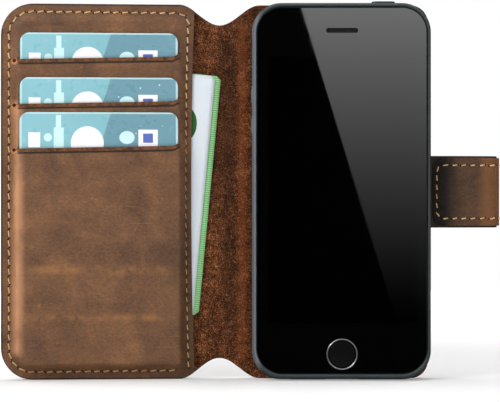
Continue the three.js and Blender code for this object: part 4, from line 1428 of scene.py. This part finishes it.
def phone_shell():
    front, back = SHELL_LOW.y, SHELL_HIGH.y
    inner = SHELL_CORNER - 1.0
    profile = [
        (0.95, front + 0.32, inner + 0.05), (0.86, front + 0.06, inner + 0.15), (0.74, front, inner + 0.3),
        (0.58, front + 0.07, SHELL_CORNER - 0.6), (0.46, front + 0.4, SHELL_CORNER - 0.5),
        (0.34, front + 1.2, SHELL_CORNER - 0.4), (0.2, front + 2.3, SHELL_CORNER - 0.2),
        (0.07, front + 3.8, SHELL_CORNER), (0.0, front + 5.4, SHELL_CORNER), (0.02, back - 1.2, SHELL_CORNER),
        (0.18, back - 0.45, SHELL_CORNER - 0.2), (0.6, back - 0.05, SHELL_CORNER - 0.6), (0.9, back, inner),
    ]
    inside = [
        (1.25, back - SHELL_FLOOR, inner - 0.2), (1.0, back - SHELL_FLOOR - 0.5, inner + 0.06),
        (1.0, front + 0.6, inner + 0.06),
    ]
    shell = loft("phone_shell_moulding", [shell_loop(*level) for level in inside + profile])
    outward(shell)
    cut(shell, block(CAMERA_X0, CAMERA_X1, -6, 0, CAMERA_Z0, CAMERA_Z1, 4.4))
    for opening in shell_openings():
        cut(shell, opening)
    sharpen(shell, 42)
    place(shell)
    finish_piece(shell, [SHELL], "back", ["phone_shell"])


def side_pads():
    """The shell's rubber caps over the phone's buttons, each with a raised bar."""
    low, high = size_of("power_pad")
    pad = soft_slab("pad", low.x, high.x, low.y, high.y, 1.2, low.z, high.z, 0.3, 6)
    top = high.z + 0.16
    bar = soft_slab(
        "bar", low.x + 1.2, high.x - 1.2, low.y + 1.1, high.y - 1.1, 0.45, high.z - 0.2, top, 0.12, 6
    )
    button_cap("power_pad", "power_button", pad, bar, Y_WITH_Z)
    for node in VOLUME_PADS:
        low, high = size_of(node)
        pad = soft_slab("pad", low.y, high.y, low.z, high.z, 1.2, low.x + 0.28, high.x, 0.3, 6)
        front, back = low.x + 0.12, low.x + 0.4
        bar = soft_slab(
            "bar", low.y + 1.1, high.y - 1.1, low.z + 1.2, high.z - 1.2, 0.45, front, back, 0.12, 6
        )
        button_cap(node, node.removesuffix("_pad"), pad, bar, X_WITH_Y)


def button_cap(node, body, pad, bar, axes):
    for thing in (pad, bar):
        swapped(thing, axes)
        sharpen(thing, 60)
    cap = joined(node + "_cap", [pad, bar])
    place(cap)
    finish_piece(cap, [SHELL], body, [node])


def joined(name, things):
    bpy.ops.object.select_all(action="DESELECT")
    for thing in things:
        thing.select_set(True)
    bpy.context.view_layer.objects.active = things[0]
    bpy.ops.object.join()
    things[0].name = name
    return things[0]


def refined(node, name, width, material, body, segments=2):
    """A copy of a CAD node with its faces merged and its sharp edges softened."""
    source = frame["nodes"][node].data
    vertices = [v.co / MM for v in source.vertices]
    thing = new_object(name, vertices, [list(p.vertices) for p in source.polygons])
    work = bmesh.new()
    work.from_mesh(thing.data)
    bmesh.ops.remove_doubles(work, verts=work.verts, dist=1e-3)
    bmesh.ops.dissolve_limit(work, angle_limit=math.radians(1), verts=work.verts, edges=work.edges)
    work.to_mesh(thing.data)
    work.free()
    if width:
        bevel(thing, width, segments, 45)
    sharpen(thing, 20)
    place(thing)
    return finish_piece(thing, [material], body, [node])


def phone():
    black = dark_plastic()
    metal = brushed_metal("dark_metal", tint(96, 96, 100), tint(60, 60, 64), 0.35)
    bright = brushed_metal("bright_ring", tint(236, 236, 240), tint(190, 190, 196), 0.3)
    glass = cover_glass()
    refined("phone_housing", "phone_body_black", 0.35, black, "phone", 3)
    refined("front_glass", "phone_front_glass", 0.16, glass, "phone", 3)
    refined("earpiece_mesh", "earpiece_grille_mesh", 0.08, earpiece_grille(), "phone")
    refined("camera_lens", "camera_lens_glass", 0.12, glass, "phone")
    refined("camera_flash", "camera_flash_lens", 0.12, adhesive_film(), "phone")
    refined("shell_adhesive", "shell_adhesive_film", 0, adhesive_film(), "back")
    refined("cover_magnet_plate", "cover_magnet_keeper", 0.05, metal, "cover")
    refined("strap_magnet", "strap_magnet_plate", 0.08, metal, "strap_tip")
    face = GLASS_LOW.y
    ring_r = (RING_HIGH.x - RING_LOW.x) / 2
    section = [(0.5, 0.7), (0.5, 0.14), (0.42, 0.02), (0.22, -0.04), (0.06, 0.02), (0, 0.14), (0, 0.7)]
    section.append(section[0])
    ring = lathe("home_button_ring", HOME, [(ring_r - inset, face + depth) for inset, depth in section])
    finish_piece(ring, [bright], "phone", ["home_ring"])
    low, high = size_of("home_button")
    radius = (high.x - low.x) / 2
    dish = 0.34
    profile = [(radius * 0.94 * share, low.y + dish * (1 - share**2)) for share in shares(10)]
    profile += [(radius - 0.08, low.y + 0.04), (radius, low.y + 0.16), (radius, high.y), (0.0, high.y)]
    button = lathe("home_button_disc", HOME, profile)
    satin = dark_plastic("button_black", 0.3, 0.08)
    finish_piece(button, [satin], "home_button", ["home_button"])


# ---------------------------------------------------------------- stage, light and camera
FLOOR_RADIUS = 0.6                  # metres
WALL_RADIUS = 5.0
REFLECTOR_Y = -0.601
REFLECTOR_LEFT_TOP = 0.0334
REFLECTOR_LEFT_FOOT = 0.101
REFLECTOR_RIGHT = 0.36
REFLECTOR_TOP = 0.1952
REFLECTOR_FOOT = -0.0266
REFLECTOR_STRENGTH = 3.75


def floor_white():
    """A white floor that glows with painted light, faint near the case and stronger towards its rim, where it
    fades into the surround.
    """
    colours = {"Base_Color": (0.93, 0.93, 0.93, 1), "Emission_Color": (1, 1, 1, 1)}
    f = Finish("studio_white", Metallic=0.0, Roughness=0.2, Specular_IOR_Level=0.3, **colours)
    position = f.node("ShaderNodeNewGeometry").outputs["Position"]
    apart = f.node("ShaderNodeVectorMath", {0: position}, operation="LENGTH").outputs["Value"]
    return f.use(Emission_Strength=f.between(apart, 0.1, FLOOR_RADIUS, 0.27, 1.1))


def disc(radius):
    """Points of a circle on the floor."""
    steps = 96
    angles = [2 * math.pi * i / steps for i in range(steps)]
    return [Vector((radius * math.cos(a), radius * math.sin(a), 0)) for a in angles]


def glowing(name):
    """A plain glowing material, with its node tree and its light."""
    material = bpy.data.materials.new(name)
    material.use_nodes = True
    tree = material.node_tree
    tree.nodes.clear()
    output = tree.nodes.new("ShaderNodeOutputMaterial")
    light = tree.nodes.new("ShaderNodeEmission")
    light.inputs["Strength"].default_value = 1.0
    tree.links.new(light.outputs[0], output.inputs["Surface"])
    return material, tree, light


def studio():
    """A round white floor, and beyond it a bright surround that only the camera sees."""
    rim = disc(FLOOR_RADIUS)
    floor = new_object("studio_floor", rim, [list(range(len(rim)))])
    floor.data.materials.append(floor_white())
    hide_from(floor, "glossy")
    wall_foot = disc(WALL_RADIUS)
    wall_top = [p + Vector((0, 0, WALL_RADIUS)) for p in wall_foot]
    faces = tube_faces(0, 3, len(rim))[:-2]
    surround = new_object("studio_surround", rim + wall_foot + wall_top, faces)
    surround.data.materials.append(glowing("studio_surround_white")[0])
    hide_from(surround, "diffuse", "glossy", "shadow", "transmission")


def reflector():
    """A panel beside the camera that only shows in the polished glass: bright above, dark below."""
    def vertex(share, side):
        left = REFLECTOR_LEFT_TOP + (REFLECTOR_LEFT_FOOT - REFLECTOR_LEFT_TOP) * share
        z = REFLECTOR_TOP + (REFLECTOR_FOOT - REFLECTOR_TOP) * share
        return Vector((REFLECTOR_RIGHT if side else left, REFLECTOR_Y, z))

    panel = grid("reflector_panel", shares(24), (0, 1), vertex)
    glow, tree, light = glowing("reflector_glow")
    position = tree.nodes.new("ShaderNodeNewGeometry")
    height = tree.nodes.new("ShaderNodeSeparateXYZ")
    fade = tree.nodes.new("ShaderNodeMapRange")
    fade.inputs["From Min"].default_value = REFLECTOR_FOOT
    fade.inputs["From Max"].default_value = REFLECTOR_TOP
    tree.links.new(position.outputs["Position"], height.inputs[0])
    tree.links.new(height.outputs[2], fade.inputs["Value"])
    level = fade.outputs[0]
    for operation, value in (("POWER", 2.0), ("MULTIPLY", REFLECTOR_STRENGTH)):
        step = tree.nodes.new("ShaderNodeMath")
        step.operation = operation
        step.inputs[1].default_value = value
        tree.links.new(level, step.inputs[0])
        level = step.outputs[0]
    tree.links.new(level, light.inputs["Strength"])
    panel.data.materials.append(glow)
    hide_from(panel, "camera", "diffuse", "shadow", "transmission")


def hide_from(thing, *rays):
    """Leaves a piece of the studio out of what the given kinds of ray see."""
    for ray in rays:
        setattr(thing, "visible_" + ray, False)


def area_light(name, place_at, target, size, power):
    data = bpy.data.lights.new(name, "AREA")
    data.shape = "RECTANGLE"
    data.size, data.size_y = size
    data.energy = power
    lamp = bpy.data.objects.new(name, data)
    lamp.location = place_at
    lamp.rotation_euler = (Vector(target) - Vector(place_at)).to_track_quat("-Z", "Y").to_euler()
    bpy.context.scene.collection.objects.link(lamp)


def lights():
    centre = (0, 0, MIDDLE * MM)
    area_light("key_light", (-0.62, -0.62, 0.62), centre, (0.35, 0.35), 6.5)
    area_light("fill_light", (0.5, -0.9, 0.3), centre, (0.7, 0.7), 1.2)
    area_light("top_light", (0, 0.1, 1.2), (0, 0.1, 0), (1.6, 1.2), 8)
    area_light("wall_light", (0, 0.2, 1.4), (0, 1.0, 0.4), (2.4, 0.6), 20)
    world = bpy.data.worlds.new("studio_world")
    bpy.context.scene.world = world
    world.use_nodes = True
    background = world.node_tree.nodes["Background"]
    background.inputs["Color"].default_value = (1, 1, 1, 1)
    background.inputs["Strength"].default_value = 0.28
    world.cycles_visibility.glossy = False


def camera():
    data = bpy.data.cameras.new("camera")
    data.lens = LENS
    data.sensor_width = SENSOR
    data.clip_start = 0.01
    thing = bpy.data.objects.new("camera", data)
    thing.location = Vector((CAMERA_X, SHELL_LOW.y - CAMERA_BACK, CAMERA_Z)) * MM
    thing.rotation_euler = (math.radians(90), 0, 0)
    bpy.context.scene.collection.objects.link(thing)
    bpy.context.scene.camera = thing


SUEDE = suede_leather()
EDGE = painted_edge()
LINING = woven_lining()
THREAD = sewing_thread()
HOLE = stitch_hole()
SHELL = moulded_shell()

camera()
folio_skin()
pocket_panel()
cover_lining()
pocket_liners()
cards()
banknotes()
cover_stitches()
strap()
strap_stitches()
phone_shell()
side_pads()
phone()
studio()
reflector()
lights()

bpy.context.scene.view_settings.view_transform = "Standard"
bpy.context.scene.view_settings.look = "None"
